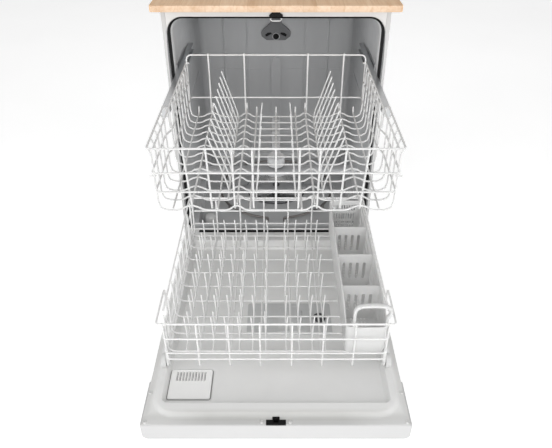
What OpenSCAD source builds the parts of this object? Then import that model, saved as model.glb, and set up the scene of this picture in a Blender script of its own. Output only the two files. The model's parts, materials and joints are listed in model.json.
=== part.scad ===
// Portable dishwasher on casters, door open and both racks drawn out.
// Millimetres, +Z up, +X to the right, the door opens towards -Y.
// The origin lies on the floor, under the middle of the whole outline.

/* [Cabinet] */
// Width over the two side panels
cab_w = 606; // [604:1:608]
// Height from the floor to the top of the wooden worktop
total_h = 918; // [912:1:924]
// Width of the worktop
top_w = 622; // [616:1:630]
// Depth of the worktop
top_d = 683; // [675:1:690]
// Thickness of the worktop
top_t = 16; // [15:1:17]
// How far the worktop stands out in front of the tub mouth
top_over = 102; // [95:1:110]
// Sheet thickness of the steel panels
sheet = 2; // [1.5:0.1:2]

/* [Tub] */
// Half of the inner width of the tub
tub_hw = 277; // [277:0.5:278]
// Inner depth of the tub
tub_d = 540; // [538:1:542]
// Height of the tub floor above the ground
tub_floor = 160; // [158:1:160]
// Height of the tub ceiling
tub_top = 861; // [858:1:862]
// Corner radius of the tub ceiling
tub_r = 38; // [30:1:42]
// Wall thickness of the tub
tub_wall = 3; // [2.5:0.1:3]
// Height of the ledge that the lower rack's wheels roll on
ledge_z = 205; // [204:0.5:205]

/* [Door] */
// Height of the hinge axis
hinge_z = 162; // [162:1:163]
// Distance of the hinge axis in front of the tub mouth
hinge_y = 40; // [39:1:40]
// Distance of the door's top edge from the tub mouth, door open
door_reach = 766; // [760:1:770]
// Length of the console at the top of the door
console_len = 118; // [110:1:120]
// Half width of the console
console_hw = 300; // [299:0.5:301]

/* [Racks] */
// Distance of the lower rack's front from the tub mouth
low_front = 647; // [645:1:650]
// Depth of the lower rack
low_depth = 519; // [515:1:520]
// Distance of the upper rack's front from the tub mouth
up_front = 508; // [506:1:510]
// Depth of the upper rack
up_depth = 520; // [516:1:520]
// Thickness of the coated rack wires
wire = 4; // [3.5:0.1:4.2]
// Radius of the lower rack's wheels
low_wheel_r = 17.5; // [17:0.1:17.5]
// Radius of the rollers in the upper rack's rails
roller_r = 8.8; // [8.5:0.1:8.8]

/* [Casters] */
// Radius of the caster wheels
caster_r = 25; // [24:0.5:25]
// Distance of the wheel axle behind the swivel axis
caster_trail = 22; // [20:1:24]

/* [Hidden] */
$fn = 48;
cw = cab_w / 2;
// everything is drawn from the plane of the tub mouth and then moved to the common origin
mouth_y = (door_reach - (top_d - top_over)) / 2;
back = tub_d + 18;
white = [0.93, 0.93, 0.92];
grey = [0.62, 0.63, 0.64];
dark = [0.1, 0.1, 0.1];

module place() { translate([0, mouth_y, 0]) children(); }
// a box by its lowest and highest corners
module bx(a, b) { translate(a) cube([b[0] - a[0], b[1] - a[1], b[2] - a[2]]); }
// the same box on the left and on the right
module both() { children(); mirror([1, 0, 0]) children(); }
// an XZ outline drawn out along Y, and a YZ outline drawn out along X
module ext_y(y0, y1) { translate([0, y1, 0]) rotate([90, 0, 0]) linear_extrude(y1 - y0) children(); }
module ext_x(x0, x1) { translate([x0, 0, 0]) rotate([90, 0, 90]) linear_extrude(x1 - x0) children(); }
module cyl_x(x0, x1, y, z, r) { translate([x0, y, z]) rotate([0, 90, 0]) cylinder(h = x1 - x0, r = r); }
module cyl_y(y0, y1, x, z, r) { translate([x, y1, z]) rotate([90, 0, 0]) cylinder(h = y1 - y0, r = r); }
module cyl_z(z0, z1, x, y, r) { translate([x, y, z0]) cylinder(h = z1 - z0, r = r); }
// rectangle with round corners: ra at the low-y side, rb at the high-y side
module rrect(x0, y0, x1, y1, ra, rb) {
    translate([x0, y0 + ra]) square([x1 - x0, y1 - y0 - ra - rb]);
    translate([x0 + ra, y0]) square([x1 - x0 - 2 * ra, ra + 0.01]);
    translate([x0 + rb, y1 - rb - 0.01]) square([x1 - x0 - 2 * rb, rb + 0.01]);
    translate([x0 + ra, y0 + ra]) circle(ra);
    translate([x1 - ra, y0 + ra]) circle(ra);
    translate([x0 + rb, y1 - rb]) circle(rb);
    translate([x1 - rb, y1 - rb]) circle(rb);
}
// flat wire panel: upright wires at us, level wires at vs, in a plane
module grille(us, vs, t) {
    for (u = us) translate([u - t / 2, vs[0] - t / 2]) square([t, vs[len(vs) - 1] - vs[0] + t]);
    for (v = vs) translate([us[0] - t / 2, v - t / 2]) square([us[len(us) - 1] - us[0] + t, t]);
}

// ---------------------------------------------------------------- cabinet
module worktop() {
    color("burlywood") place() translate([0, 0, total_h - top_t]) linear_extrude(top_t)
        rrect(-top_w / 2, -top_over, top_w / 2, top_d - top_over, 8, 8);
}
cab_top = total_h - top_t - 0.2;
module top_rails() {
    color(white) place() {
        // front rail, its lower corners rounded round the gasket
        ext_y(-sheet, 0) difference() {
            translate([-cw + 11.8, tub_top - 33]) square([2 * cw - 23.6, cab_top - tub_top + 33]);
            rrect(-291, 100, 291, tub_top + 4.5, 4, 42.5);
        }
        bx([-cw + 11.8, -sheet, cab_top - 2], [cw - 11.8, 26, cab_top]);
        bx([-cw + sheet + 0.3, back - 28, cab_top - 2], [cw - sheet - 0.3, back - 2.3, cab_top]);
        bx([-cw + sheet + 0.3, back - 4.3, cab_top - 24], [cw - sheet - 0.3, back - 2.3, cab_top]);
    }
}
module side_panel() {
    bx([cw - sheet, -sheet, 38], [cw, back, cab_top]);
    bx([cw - 11.5, -sheet, 128], [cw, 0, cab_top]);
    bx([cw - 16, back - sheet, 38], [cw, back, cab_top]);
}
module side_panel_left() { color(white) place() mirror([1, 0, 0]) side_panel(); }
module side_panel_right() { color(white) place() side_panel(); }
module rear_panel() {
    color(white) place() difference() {
        bx([-cw + 16.3, back - sheet, 66], [cw - 16.3, back, cab_top - 0.2]);
        bx([-250, back - 5, 60.0], [-130, back + 5, 150]);
    }
}
module service_panel() {
    color(dark) place() difference() {
        union() {
            bx([-256, back + 0.2, 70], [-124, back + 3, 156]);
            bx([-249, back - 36, 74], [-131, back + 1, 149]);
            cyl_y(back - 34, back - 6, -175, 110, 10);
            cyl_y(back - 34, back - 6, -148, 110, 7);
        }
        difference() {
            bx([-246, back - 33, 77], [-134, back + 9, 146]);
            cyl_y(back - 34, back - 10, -175, 110, 10);
            cyl_y(back - 34, back - 10, -148, 110, 7);
        }
        cyl_y(back - 50, back, -175, 110, 6);
        cyl_y(back - 50, back, -148, 110, 4);
        cyl_y(back - 50, back - 20, -220, 110, 7);
    }
}
cast_x = 245;
cast_y = [60, 505];
module base_frame() {
    color("dimgray") place() {
        both() difference() {
            bx([266, 8, 66], [cw - sheet - 0.5, back - sheet - 0.4, 96]);
            bx([268, 0, 68], [cw - sheet - 2.5, back + 1, 94]);
        }
        for (y = [8, back - sheet - 30.4]) difference() {
            bx([-267, y, 66], [267, y + 30, 92]);
            bx([-266, y + 2, 68], [266, y + 28, 93]);
            if (y > 100) bx([-257, y - 1, 71], [-123, y + 31, 99]);
        }
        bx([-267, 30, 66], [267, back - 30, 68]);
        for (sx = [-1, 1], y = cast_y) {
            bx([sx * cast_x - 34, y - 34, 62], [sx * cast_x + 34, y + 34, 66.5]);
            cyl_z(59.3, 62.5, sx * cast_x, y, 14);
            cyl_z(53, 60, sx * cast_x, y, 7);
            cyl_z(50.5, 53.8, sx * cast_x, y, 10);
        }
    }
}
module toe_panel() {
    color(white) place() {
        bx([-299.5, -32, 25], [299.5, -30, 120]);
        both() bx([297.5, -31, 60], [299.5, 7.7, 118]);
        bx([-299.5, -31, 25], [299.5, -20, 27]);
    }
}
module counterweight() { color("dimgray") place() bx([-110, 424, 68.2], [190, 506, 112]); }

// ---------------------------------------------------------------- tub
sump_y = 290;
arm_y = 270;
module tub_outline(g, floor_z) {
    rrect(-tub_hw - g, floor_z - g, tub_hw + g, tub_top + g, 8, tub_r + g);
}
module tub() {
    color(grey) place() difference() {
        union() {
            difference() {
                union() {
                    ext_y(0.3, tub_d + tub_wall) tub_outline(tub_wall, tub_floor);
                    ext_y(0.3, 0.3 + tub_wall) rrect(-cw + 4, 156, cw - 4, 895, 6, 6);
                }
                ext_y(0.3 + tub_wall, tub_d) tub_outline(0, tub_floor);
                ext_y(-9, 9) tub_outline(0, 197);
            }
            // wheel ledges on both sides, each with a ramp at the mouth
            both() ext_x(tub_hw - 20, tub_hw + 1)
                polygon([[2, 199], [24, ledge_z], [tub_d - 8, ledge_z], [tub_d - 8, ledge_z - 3], [25, ledge_z - 3], [2, 196]]);
            both() bx([tub_hw - 20, 2, tub_floor - 1], [tub_hw - 17, tub_d - 8, 198]);
            both() bx([tub_hw - 20, 24, 190], [tub_hw - 17, tub_d - 8, ledge_z - 1]);
            // stiffening ribs of the back wall
            both() bx([185, tub_d - 4, tub_floor - 1], [189, tub_d + 1, tub_top + 1]);
            bx([-tub_hw - 1, tub_d - 9, tub_floor - 1], [-tub_hw + 6, tub_d + 1, 800]);
            bx([tub_hw - 6, tub_d - 9, tub_floor - 1], [tub_hw + 1, tub_d + 1, 800]);
        }
        cyl_z(tub_floor - 20, tub_floor + 20, 0, sump_y, 98);
        cyl_z(tub_floor - 20, tub_floor + 20, -225, 70, 6);
    }
}
module tub_gasket() {
    color(dark) place() difference() {
        ext_y(-5, 0) rrect(-290.5, 150, 290.5, tub_top + 4, 4, 42);
        ext_y(-9, 9) rrect(-281.5, 100, 281.5, tub_top + 0.5, 4, 35);
        bx([-400, -20, 100], [400, 20, 178]);
    }
}
module latch_strike() {
    color(dark) place() {
        // stepped plate on the front rail
        ext_y(-4.8, -2.1) polygon([[-18, 865.6], [18, 865.6], [18, 870.5], [10, 877], [-10, 877], [-18, 870.5]]);
        // bail under the tub ceiling, just inside the mouth
        ext_y(4, 7) difference() {
            polygon([[-17, 860.8], [17, 860.8], [16, 855], [11, 851], [-11, 851], [-16, 855]]);
            polygon([[-12.5, 861], [12.5, 861], [12, 857], [9, 854.5], [-9, 854.5], [-12, 857]]);
        }
    }
}
module feed_tube() {
    color(grey) place() {
        bx([-18, 528.5, tub_floor + 0.2], [18, tub_d - 0.2, 643]);
        cyl_y(523.5, 530, 0, 570, 13);
        // flat duct along the tub floor, from the sump to the back wall
        difference() {
            bx([-14, 404, tub_floor + 0.2], [14, 529, tub_floor + 9]);
            bx([-12, 403, tub_floor + 2.2], [12, 526, tub_floor + 7]);
        }
    }
}
module top_nozzle() {
    color("dimgray") place() difference() {
        ext_y(527, tub_d - 0.2) polygon([[-34, 643.3], [-52, 657], [-54, 669], [-47, 680], [-21, 701], [-18, 742],
            [18, 742], [21, 701], [47, 680], [54, 669], [52, 657], [34, 643.3]]);
        both() ext_y(515, 531) polygon([[13, 665], [36, 655], [40, 662], [30, 670], [15, 671]]);
    }
}
module sump() {
    color("dimgray") place() difference() {
        union() {
            cyl_z(118, tub_floor + 2.2, 0, sump_y, 95);
            cyl_z(tub_floor + 0.2, tub_floor + 2.2, 0, sump_y, 112);
        }
        difference() {
            cyl_z(121, tub_floor + 10, 0, sump_y, 92);
            cyl_z(118, tub_floor + 11, 0, arm_y - 20, 16);
        }
    }
    color("dimgray") place() {
        cyl_z(tub_floor + 1, 200, 0, arm_y - 20, 8);
        cyl_z(199.5, 203, 0, arm_y - 20, 13);
        cyl_z(tub_floor + 1, 182, 0, arm_y - 20, 12);
    }
}
module coarse_filter() {
    color("silver") place() difference() {
        cyl_z(tub_floor + 2.4, tub_floor + 4.4, 0, sump_y, 108);
        cyl_z(tub_floor, tub_floor + 9, 0, arm_y - 20, 17);
        cyl_z(tub_floor, tub_floor + 9, 0, 336, 33);
    }
}
module filter_cylinder() {
    color("slategray") place() {
        difference() { cyl_z(124, 170, 0, 336, 31); cyl_z(127, 180, 0, 336, 28); }
        cyl_z(167, 170, 0, 336, 31);
        bx([-24, 332, 169], [24, 340, 178]);
    }
}
module heater_element() {
    color("gray") place() {
        translate([0, 275, 174]) rotate_extrude() translate([205, 0]) circle(4);
        for (a = [215, 325, 60, 120]) cyl_z(tub_floor + 0.2, 174, 205 * cos(a), 275 + 205 * sin(a), 3);
    }
}
module float() {
    color(white) place() {
        cyl_z(tub_floor + 0.4, 190, -225, 70, 20);
        cyl_z(142, 170, -225, 70, 5);
    }
}
module arm_blade(len, half, z0, z1) {
    bx([-len, -half, z0], [len, half, z1]);
    for (s = [-1, 1]) cyl_z(z0, z1, s * len, 0, half);
    cyl_z(z0, z1, 0, 0, 32);
}
module lower_spray_arm() {
    color(grey) place() translate([0, arm_y - 20, 0]) difference() {
        arm_blade(195, 20, 184, 198);
        cyl_z(170, 210, 0, 0, 8.07);
    }
}
module wash_pump() {
    color("dimgray") place() {
        cyl_x(-235, -130, sump_y, 112, 38);
        cyl_x(-131, -115, sump_y, 112, 30);
        cyl_x(-118, -95.2, sump_y, 135, 8);
        bx([-225, sump_y - 25, 68.2], [-140, sump_y + 25, 90]);
    }
}
module drain_pump() {
    color("dimgray") place() {
        cyl_x(130, 200, sump_y, 104, 26);
        cyl_x(95.2, 131, sump_y, 125, 4.5);
        bx([140, sump_y - 18, 68.2], [190, sump_y + 18, 90]);
    }
}
module inlet_valve() {
    color("steelblue") place() {
        bx([-236, 440, 68.2], [-176, 486, 104]);
        cyl_z(100, 126, -220, 463, 11);
        cyl_z(100, 126, -192, 463, 11);
    }
}

// ---------------------------------------------------------------- upper rack guides
rail_z = 711;
rail_x = 259;
module roller_brackets() {
    color("gray") place() both() {
        bx([tub_hw - 1.7, 12, rail_z - 20], [tub_hw - 0.2, 172, rail_z + 20]);
        cyl_x(268.6, tub_hw - 1, 30, rail_z, 3);
        bx([269, 134, rail_z - 8.6], [tub_hw - 1, 166, rail_z + 8.6]);
    }
}
module tub_rollers() {
    color(white) place() both() difference() {
        cyl_x(268.8, 274.4, 30, rail_z, roller_r);
        cyl_x(260, 280, 30, rail_z, 3.06);
    }
}
module upper_rails() {
    color("lightgray") place() both() {
        ext_y(-256, 243) polygon([[259, 700], [274.7, 700], [274.7, 702], [268, 702], [268, 720], [274.7, 720],
            [274.7, 722], [259, 722], [259, 720], [266, 720], [266, 702], [259, 702]]);
        bx([257.5, -262, 698], [275.4, -255.5, 724]);
    }
}
module rack_roller(y) {
    both() difference() {
        cyl_x(260, 265, y, rail_z, roller_r);
        cyl_x(250, 270, y, rail_z, 3.06);
    }
}
module rack_rollers_front() { color(white) place() rack_roller(-235); }
module rack_rollers_rear() { color(white) place() rack_roller(-30); }

// ---------------------------------------------------------------- door hinge, springs
module hinge_brackets() {
    color("silver") place() both() {
        difference() {
            ext_x(280, 283) union() {
                polygon([[-16, 100], [60, 96.2], [60, 140], [2, 150], [-28, 174], [-45, 160], [-40, 148]]);
                translate([-hinge_y, hinge_z]) circle(10);
            }
            cyl_x(279, 284, -hinge_y, hinge_z, 3);
        }
        cyl_x(280.5, 289, -hinge_y, hinge_z, 5);
        cyl_x(282, 292, -7, 113, 8);
    }
}
module door_springs() {
    color("gray") place() both() {
        difference() { cyl_y(60, 250, 292, 104.2, 7); cyl_y(62, 248, 292, 104.2, 4.5); }
        cyl_y(249, 300, 292, 104.2, 1.5);
        bx([289.2, -9, 103.2], [291.2, 61, 104.6]);
        bx([289.2, -17, 113], [291.2, -15.4, 187]);
    }
}
module hinge_arms() {
    color("silver") place() both() {
        difference() {
            ext_x(284.5, 287.5) union() {
                polygon([[-260, 152], [-260, 190], [-22, 192], [-13, 188], [-13, 181], [-26, 176], [-26, 158], [-60, 152]]);
                translate([-hinge_y, hinge_z]) circle(13);
            }
            cyl_x(280, 290, -hinge_y, hinge_z, 5.06);
        }
        cyl_x(287, 289, -16, 184, 2);
    }
}

// ---------------------------------------------------------------- casters
module caster_fork(x, y) {
    translate([x, mouth_y + y, 0]) {
        difference() {
            union() {
                cyl_z(55, 59, 0, 0, 24);
                both() ext_x(10.5, 13.5) polygon([[-14, 59], [-14, 55], [caster_trail - 7, caster_r - 5], [caster_trail + 7, caster_r - 5], [caster_trail + 3, 59]]);
            }
            cyl_z(40, 70, 0, 0, 7.07);
            cyl_z(40, 54.6, 0, 0, 10.4);
        }
        cyl_x(-15, 15, caster_trail, caster_r, 4);
    }
}
module caster_wheel(x, y) {
    translate([x, mouth_y + y, 0]) difference() {
        cyl_x(-9, 9, caster_trail, caster_r, caster_r);
        cyl_x(-20, 20, caster_trail, caster_r, 4.06);
    }
}
module caster_fork_fl() { color("silver") caster_fork(-cast_x, cast_y[0]); }
module caster_fork_fr() { color("silver") caster_fork(cast_x, cast_y[0]); }
module caster_fork_rl() { color("silver") caster_fork(-cast_x, cast_y[1]); }
module caster_fork_rr() { color("silver") caster_fork(cast_x, cast_y[1]); }
module caster_wheel_fl() { color(dark) caster_wheel(-cast_x, cast_y[0]); }
module caster_wheel_fr() { color(dark) caster_wheel(cast_x, cast_y[0]); }
module caster_wheel_rl() { color(dark) caster_wheel(-cast_x, cast_y[1]); }
module caster_wheel_rr() { color(dark) caster_wheel(cast_x, cast_y[1]); }

// ---------------------------------------------------------------- door
flange_z = 197;
near = -door_reach;
step_y = near + console_len;
liner_hw = console_hw - 3.5;
screws = [[290, near + 7], [31.5, near + 7], [291.8, -680], [291.8, -400], [291.8, -120]];
disp_x0 = -78;
disp_y0 = -474;
module door_liner() {
    color(grey) place() difference() {
        union() {
            translate([0, 0, flange_z - 3]) linear_extrude(3) rrect(-liner_hw, near + 0.5, liner_hw, -21, 3, 3);
            translate([0, 0, flange_z - 2]) linear_extrude(ledge_z - flange_z + 2) rrect(-287, -736, 287, -70, 60, 20);
            translate([0, 0, 182]) linear_extrude(20) rrect(-265, -717, 265, -500, 24, 4);
            translate([0, 0, 169]) linear_extrude(33) rrect(-265, -541, 265, -95, 4, 16);
        }
        translate([0, 0, 185]) linear_extrude(40) rrect(-262, -714, 262, -538.01, 21, 1);
        translate([0, 0, 172]) linear_extrude(50) rrect(-262, -538, 262, -98, 1, 13);
        // hollow under the raised rim
        translate([0, 0, 150]) linear_extrude(ledge_z - 153) difference() {
            rrect(-284, -733, 284, -73, 57, 17);
            rrect(-265, -717, 265, -95, 24, 16);
        }
        // drying vent, dispenser and latch openings
        bx([-246, -642, 170], [-162, -606, 190]);
        bx([disp_x0 + 5.7, disp_y0 + 5.7, 160], [150 - 5.7, -356 - 5.7, 180]);
        bx([-22.2, near - 1, 180], [22.2, -753.1, 210]);
        bx([-8.4, near, 180], [8.4, -745.4, 210]);
        for (s = screws, m = [-1, 1]) cyl_z(190, 205, m * s[0], s[1], 2.3);
    }
}
module door_panel() {
    color(white) place() difference() {
        union() {
            bx([-297.5, step_y + 0.3, 146], [297.5, -8, 147.4]);
            both() bx([296.1, step_y + 0.3, 146], [297.5, -21, 193.7]);
            both() bx([286.5, step_y + 0.3, 192.3], [297.5, -70, 193.7]);
        }
        both() bx([274, -64, 140], [293, 5, 150]);
        for (s = screws, m = [-1, 1]) cyl_z(190, 195, m * s[0], s[1], 2.3);
    }
}
module console_outline(g) {
    rrect(-console_hw + g, 146 + g, console_hw - g, flange_z + (g > 0 ? 20 : 0), 14 - g, 1);
}
button_at = [[-150, -700], [-112, -700]];
module console() {
    color(white) place() difference() {
        union() {
            difference() {
                ext_y(near, step_y) console_outline(0);
                ext_y(near + 3, step_y + 1) console_outline(3);
                // the near wall ends under the liner's flange
                bx([-liner_hw - 0.2, near - 1, flange_z - 3.2], [liner_hw + 0.2, near + 3.2, flange_z + 1]);
            }
            bx([-70, near + 2, 146], [70, -718, 169]);
            for (m = [-1, 1], x = [290, 31.5]) cyl_z(160, 193.8, m * x, near + 7, 4.4);
            for (m = [-1, 1]) bx([m * 291 - 7, near + 2, 160], [m * 291 + 7, near + 6, 190]);
            for (m = [-1, 1]) bx([m * 31.5 - 3, near + 2, 160], [m * 31.5 + 3, near + 6, 190]);
        }
        bx([-66, near + 10, 140], [66, -722, 165]);
        for (b = button_at) bx([b[0] - 15.3, b[1] - 8.3, 140], [b[0] + 15.3, b[1] + 8.3, 155]);
        for (m = [-1, 1], x = [290, 31.5]) cyl_z(170, 196, m * x, near + 7, 2.3);
    }
}
module liner_screws() {
    color("silver") place() for (s = screws, m = [-1, 1]) {
        cyl_z(flange_z + 0.2, flange_z + 2.4, m * s[0], s[1], 4.6);
        cyl_z(181, flange_z + 1, m * s[0], s[1], 1.9);
    }
}
module latch_housing() {
    color(dark) place() difference() {
        union() {
            bx([-21.8, near + 3.4, 181], [21.8, -753.5, 198.4]);
            bx([-21.8, near + 0.6, flange_z - 2.9], [21.8, near + 4, 198.4]);
            bx([-8, near + 3.4, 181], [8, -745.8, 198.4]);
        }
        bx([-5.9, near + 5, 184], [5.9, -747.2, 210]);
        cyl_x(-7.9, 7.9, -751, 187.5, 1.3);
    }
}
module latch_pawl() {
    color("silver") place() {
        difference() {
            union() {
                bx([-5.4, -753.4, 187.5], [5.4, -748.4, 200]);
                cyl_x(-5.4, 5.4, -751, 187.5, 2.6);
            }
        }
        cyl_x(-7.4, 7.4, -751, 187.5, 1.25);
    }
}
module vent_cover() {
    color(grey) place() translate([0, 0, 185.2]) linear_extrude(2.6) difference() {
        rrect(-254, -690, -153.5, -604, 9, 9);
        for (k = [0:9]) translate([-240 + 7.4 * k, -637]) square([3.6, 27]);
    }
}
module dispenser() {
    color("lightgray") place() difference() {
        union() {
            translate([0, 0, 172.2]) linear_extrude(3) rrect(disp_x0, disp_y0, 150, -356, 8, 8);
            bx([disp_x0 + 6, disp_y0 + 6, 150], [144, -362, 173]);
        }
        bx([2, -462, 153], [78, -368, 190]);
        bx([disp_x0 + 10, -462, 148], [-4, -368, 170]);
        cyl_z(163, 190, 118, -415, 10.06);
        bx([90, -462, 148], [142, -368, 161]);
    }
}
module dispenser_lid() {
    color(grey) place() {
        bx([-4, -466, 175.4], [84, -364, 178.2]);
        bx([66, -440, 178], [72, -390, 181]);
    }
}
module rinse_cap() {
    color("dimgray") place() {
        cyl_z(175.4, 180, 118, -415, 17);
        cyl_z(166, 176, 118, -415, 10);
        bx([104, -417.5, 179.5], [132, -412.5, 185]);
    }
}
module door_seal() { color(dark) place() bx([-250, -45, flange_z + 0.2], [250, -33, flange_z + 2.4]); }
module control_board() {
    color("seagreen") place() {
        bx([-205, -716, 160.5], [-85, -660, 162]);
        bx([-195, -685, 161.5], [-175, -668, 170]);
    }
}
module button(b) {
    bx([b[0] - 15, b[1] - 8, 145], [b[0] + 15, b[1] + 8, 151]);
    cyl_z(150, 157, b[0], b[1], 3);
}
module start_button() { color(grey) place() button(button_at[0]); }
module cycle_button() { color(grey) place() button(button_at[1]); }

// ---------------------------------------------------------------- lower rack
low_rim = 384;
low_rails = [270, 291, 336, 384];
low_us = [-252, -180, -108, -36, 36, 108, 180, 252];
low_back = -low_front + low_depth;
low_z = ledge_z + low_wheel_r + 0.3;
low_axles = [-604, -180];
module lower_rack() {
    color(white) place() {
        // front and back panels, wire floor
        ext_y(-low_front, -low_front + wire) union() {
            grille(low_us, low_rails, wire);
            for (u = low_us) translate([u - wire / 2, 248]) square([wire, 28]);
        }
        ext_y(low_back - wire, low_back) grille(low_us, low_rails, wire);
        translate([0, 0, 262]) linear_extrude(wire)
            grille([for (i = [0:12]) -249 + 498 * i / 12], [for (i = [0:11]) -low_front + 7 + (low_depth - 14) * i / 11], wire);
        // sides with the wheel carriers, and the wings at the front corners
        both() {
            ext_x(252.4, 252.4 + wire) union() {
                grille([for (i = [0:8]) -low_front + 6.4 + (low_depth - 12.8) * i / 8], low_rails, wire);
                for (y = low_axles) translate([y - 11, 212]) square([22, 57]);
            }
            for (y = low_axles) {
                cyl_x(254, 276, y, low_z, 4);
                cyl_x(254, 261.7, y, low_z, 8);
                cyl_x(274.3, 276, y, low_z, 6);
            }
            bx([255, -645, low_rim - 2], [266, -641, low_rim + 2]);
            bx([262, -645, low_rim - 2], [266, -522, low_rim + 2]);
            bx([255, -526, low_rim - 2], [266, -522, low_rim + 2]);
        }
        // tine rows, each one upright comb along the depth
        for (x = [for (i = [0:6]) -210 + 31 * i, for (i = [0:3]) 24 + 31 * i])
            ext_x(x - 1.8, x + 1.8) union() {
                translate([-610, 266.3]) square([440, 4]);
                for (j = [0:5]) translate([-590 + 80 * j, 267]) square([4, 78 - 4 * (j % 2)]);
            }
    }
}
module wheel_pair(y) {
    both() difference() {
        cyl_x(262, 274, y, low_z, low_wheel_r);
        cyl_x(250, 280, y, low_z, 4.06);
    }
}
module lower_wheels_front() { color("lightgray") place() wheel_pair(low_axles[0]); }
module lower_wheels_rear() { color("lightgray") place() wheel_pair(low_axles[1]); }
module silverware_basket() {
    color(white) place() {
        difference() {
            bx([154, -634, 266.6], [250, -148, 386]);
            for (k = [0:3]) bx([157, -631 + k * 120.75, 270], [247, -513.25 + k * 120.75, 400]);
        }
        // arched handle, its right leg set outwards over the rack's rim
        ext_y(-634, -622) polygon([[168, 380], [168, 414], [176, 424], [186, 428], [244, 428], [253, 423], [258, 413], [258, 396],
            [250, 388], [250, 380], [242, 380], [242, 391], [250, 399], [250, 411], [243, 419], [182, 419], [176, 411], [176, 380]]);
    }
}

// ---------------------------------------------------------------- upper rack
up_rails_z = [637, 683, 740];
up_floor = 586;
up_us = [-246, -190, -142, -94, -47, 0, 47, 94, 142, 190, 246];
up_back = -up_front + up_depth;
hub_y = -247;
module upper_rack() {
    color(white) place() {
        ext_y(-up_front, -up_front + wire) union() {
            grille(up_us, up_rails_z, wire);
            for (u = up_us) translate([u - wire / 2, up_floor + 1]) square([wire, 52]);
        }
        ext_y(up_back - wire, up_back) union() {
            grille([-246, -190, -94, 94, 190, 246], [637, 759], wire);
            for (u = [-246, -190, -94, 94, 190, 246]) translate([u - wire / 2, up_floor + 1]) square([wire, 52]);
        }
        translate([0, 0, up_floor]) linear_extrude(wire)
            grille([for (i = [0:12]) -244 + 488 * i / 12], [for (i = [0:11]) -up_front + 7 + (up_depth - 14) * i / 11], wire);
        both() {
            ext_x(248.3, 248.3 + wire) union() {
                grille([for (i = [0:8]) -up_front + 6.4 + (up_depth - 12.8) * i / 8], up_rails_z, wire);
                for (i = [0:8]) translate([-up_front + 6.4 + (up_depth - 12.8) * i / 8 - wire / 2, up_floor + 1]) square([wire, 52]);
                translate([-250, rail_z - 14]) square([235, 28]);
            }
            for (y = [-235, -30]) {
                cyl_x(250, 265.6, y, rail_z, 3);
                cyl_x(250, 259.6, y, rail_z, 5.5);
            }
            bx([251, -506, 738], [266, -502, 742]);
            bx([262, -506, 738], [266, -306, 742]);
            bx([251, -310, 738], [266, -306, 742]);
        }
        for (x = [-96, 96])
            ext_x(x - 1.8, x + 1.8) union() {
                translate([-470, up_floor + 4.3]) square([440, 4]);
                for (j = [0:6]) translate([-450 + 65 * j, up_floor + 5]) square([4, 105]);
            }
    }
}
module upper_feed_tube() {
    color(grey) place() {
        difference() { cyl_y(hub_y, up_back - 3, 0, 570, 11); cyl_y(hub_y + 30, up_back + 9, 0, 570, 8.5); }
        cyl_z(560, 585.6, 0, hub_y, 22);
        cyl_z(538, 562, 0, hub_y, 6);
        cyl_z(536, 539.5, 0, hub_y, 12);
    }
}
module upper_spray_arm() {
    color(grey) place() translate([0, hub_y, 0]) difference() {
        arm_blade(195, 18, 541, 555);
        cyl_z(526, 566, 0, 0, 6.07);
    }
}

worktop();
top_rails();
side_panel_left();
side_panel_right();
rear_panel();
service_panel();
base_frame();
toe_panel();
counterweight();
tub();
tub_gasket();
latch_strike();
sump();
coarse_filter();
filter_cylinder();
wash_pump();
drain_pump();
heater_element();
inlet_valve();
float();
feed_tube();
top_nozzle();
lower_spray_arm();
roller_brackets();
tub_rollers();
hinge_brackets();
door_springs();
caster_fork_fl();
caster_fork_fr();
caster_fork_rl();
caster_fork_rr();
caster_wheel_fl();
caster_wheel_fr();
caster_wheel_rl();
caster_wheel_rr();
door_liner();
door_panel();
console();
hinge_arms();
liner_screws();
latch_housing();
latch_pawl();
vent_cover();
dispenser();
dispenser_lid();
rinse_cap();
door_seal();
control_board();
start_button();
cycle_button();
lower_rack();
lower_wheels_front();
lower_wheels_rear();
silverware_basket();
upper_rack();
upper_feed_tube();
upper_spray_arm();
rack_rollers_front();
rack_rollers_rear();
upper_rails();
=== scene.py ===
import json
import math

import bmesh
import bpy
import numpy as np
from mathutils import Matrix, Vector
from mathutils.geometry import tessellate_polygon


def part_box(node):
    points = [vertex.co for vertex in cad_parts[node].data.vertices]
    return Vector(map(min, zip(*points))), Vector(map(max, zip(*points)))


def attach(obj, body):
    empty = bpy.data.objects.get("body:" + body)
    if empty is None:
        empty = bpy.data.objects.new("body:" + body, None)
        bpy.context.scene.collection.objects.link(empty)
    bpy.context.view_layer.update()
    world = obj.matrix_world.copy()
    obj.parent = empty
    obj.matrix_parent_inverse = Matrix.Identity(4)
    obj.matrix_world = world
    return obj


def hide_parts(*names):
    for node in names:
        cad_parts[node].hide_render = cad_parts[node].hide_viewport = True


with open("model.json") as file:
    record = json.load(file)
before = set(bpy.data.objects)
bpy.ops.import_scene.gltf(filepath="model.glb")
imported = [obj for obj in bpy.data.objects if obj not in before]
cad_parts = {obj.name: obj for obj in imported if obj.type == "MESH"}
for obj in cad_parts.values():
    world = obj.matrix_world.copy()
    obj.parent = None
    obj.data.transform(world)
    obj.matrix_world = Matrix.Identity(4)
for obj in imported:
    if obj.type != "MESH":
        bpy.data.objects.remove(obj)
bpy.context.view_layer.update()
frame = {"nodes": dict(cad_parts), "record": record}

# All shapes below are drawn in millimetres from the plane of the tub mouth, as the CAD source is, and moved to the row frame.
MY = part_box("tub")[0].y - 0.0003
NODES = frame["nodes"]


def row(p):
    return Vector((p[0] * 0.001, p[1] * 0.001 + MY, p[2] * 0.001))


# ------------------------------------------------------------------ camera, light, floor
scene = bpy.context.scene
scene.view_settings.view_transform = "Standard"
scene.view_settings.look = "None"
scene.view_settings.exposure = 0.0
scene.view_settings.gamma = 1.0

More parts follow.
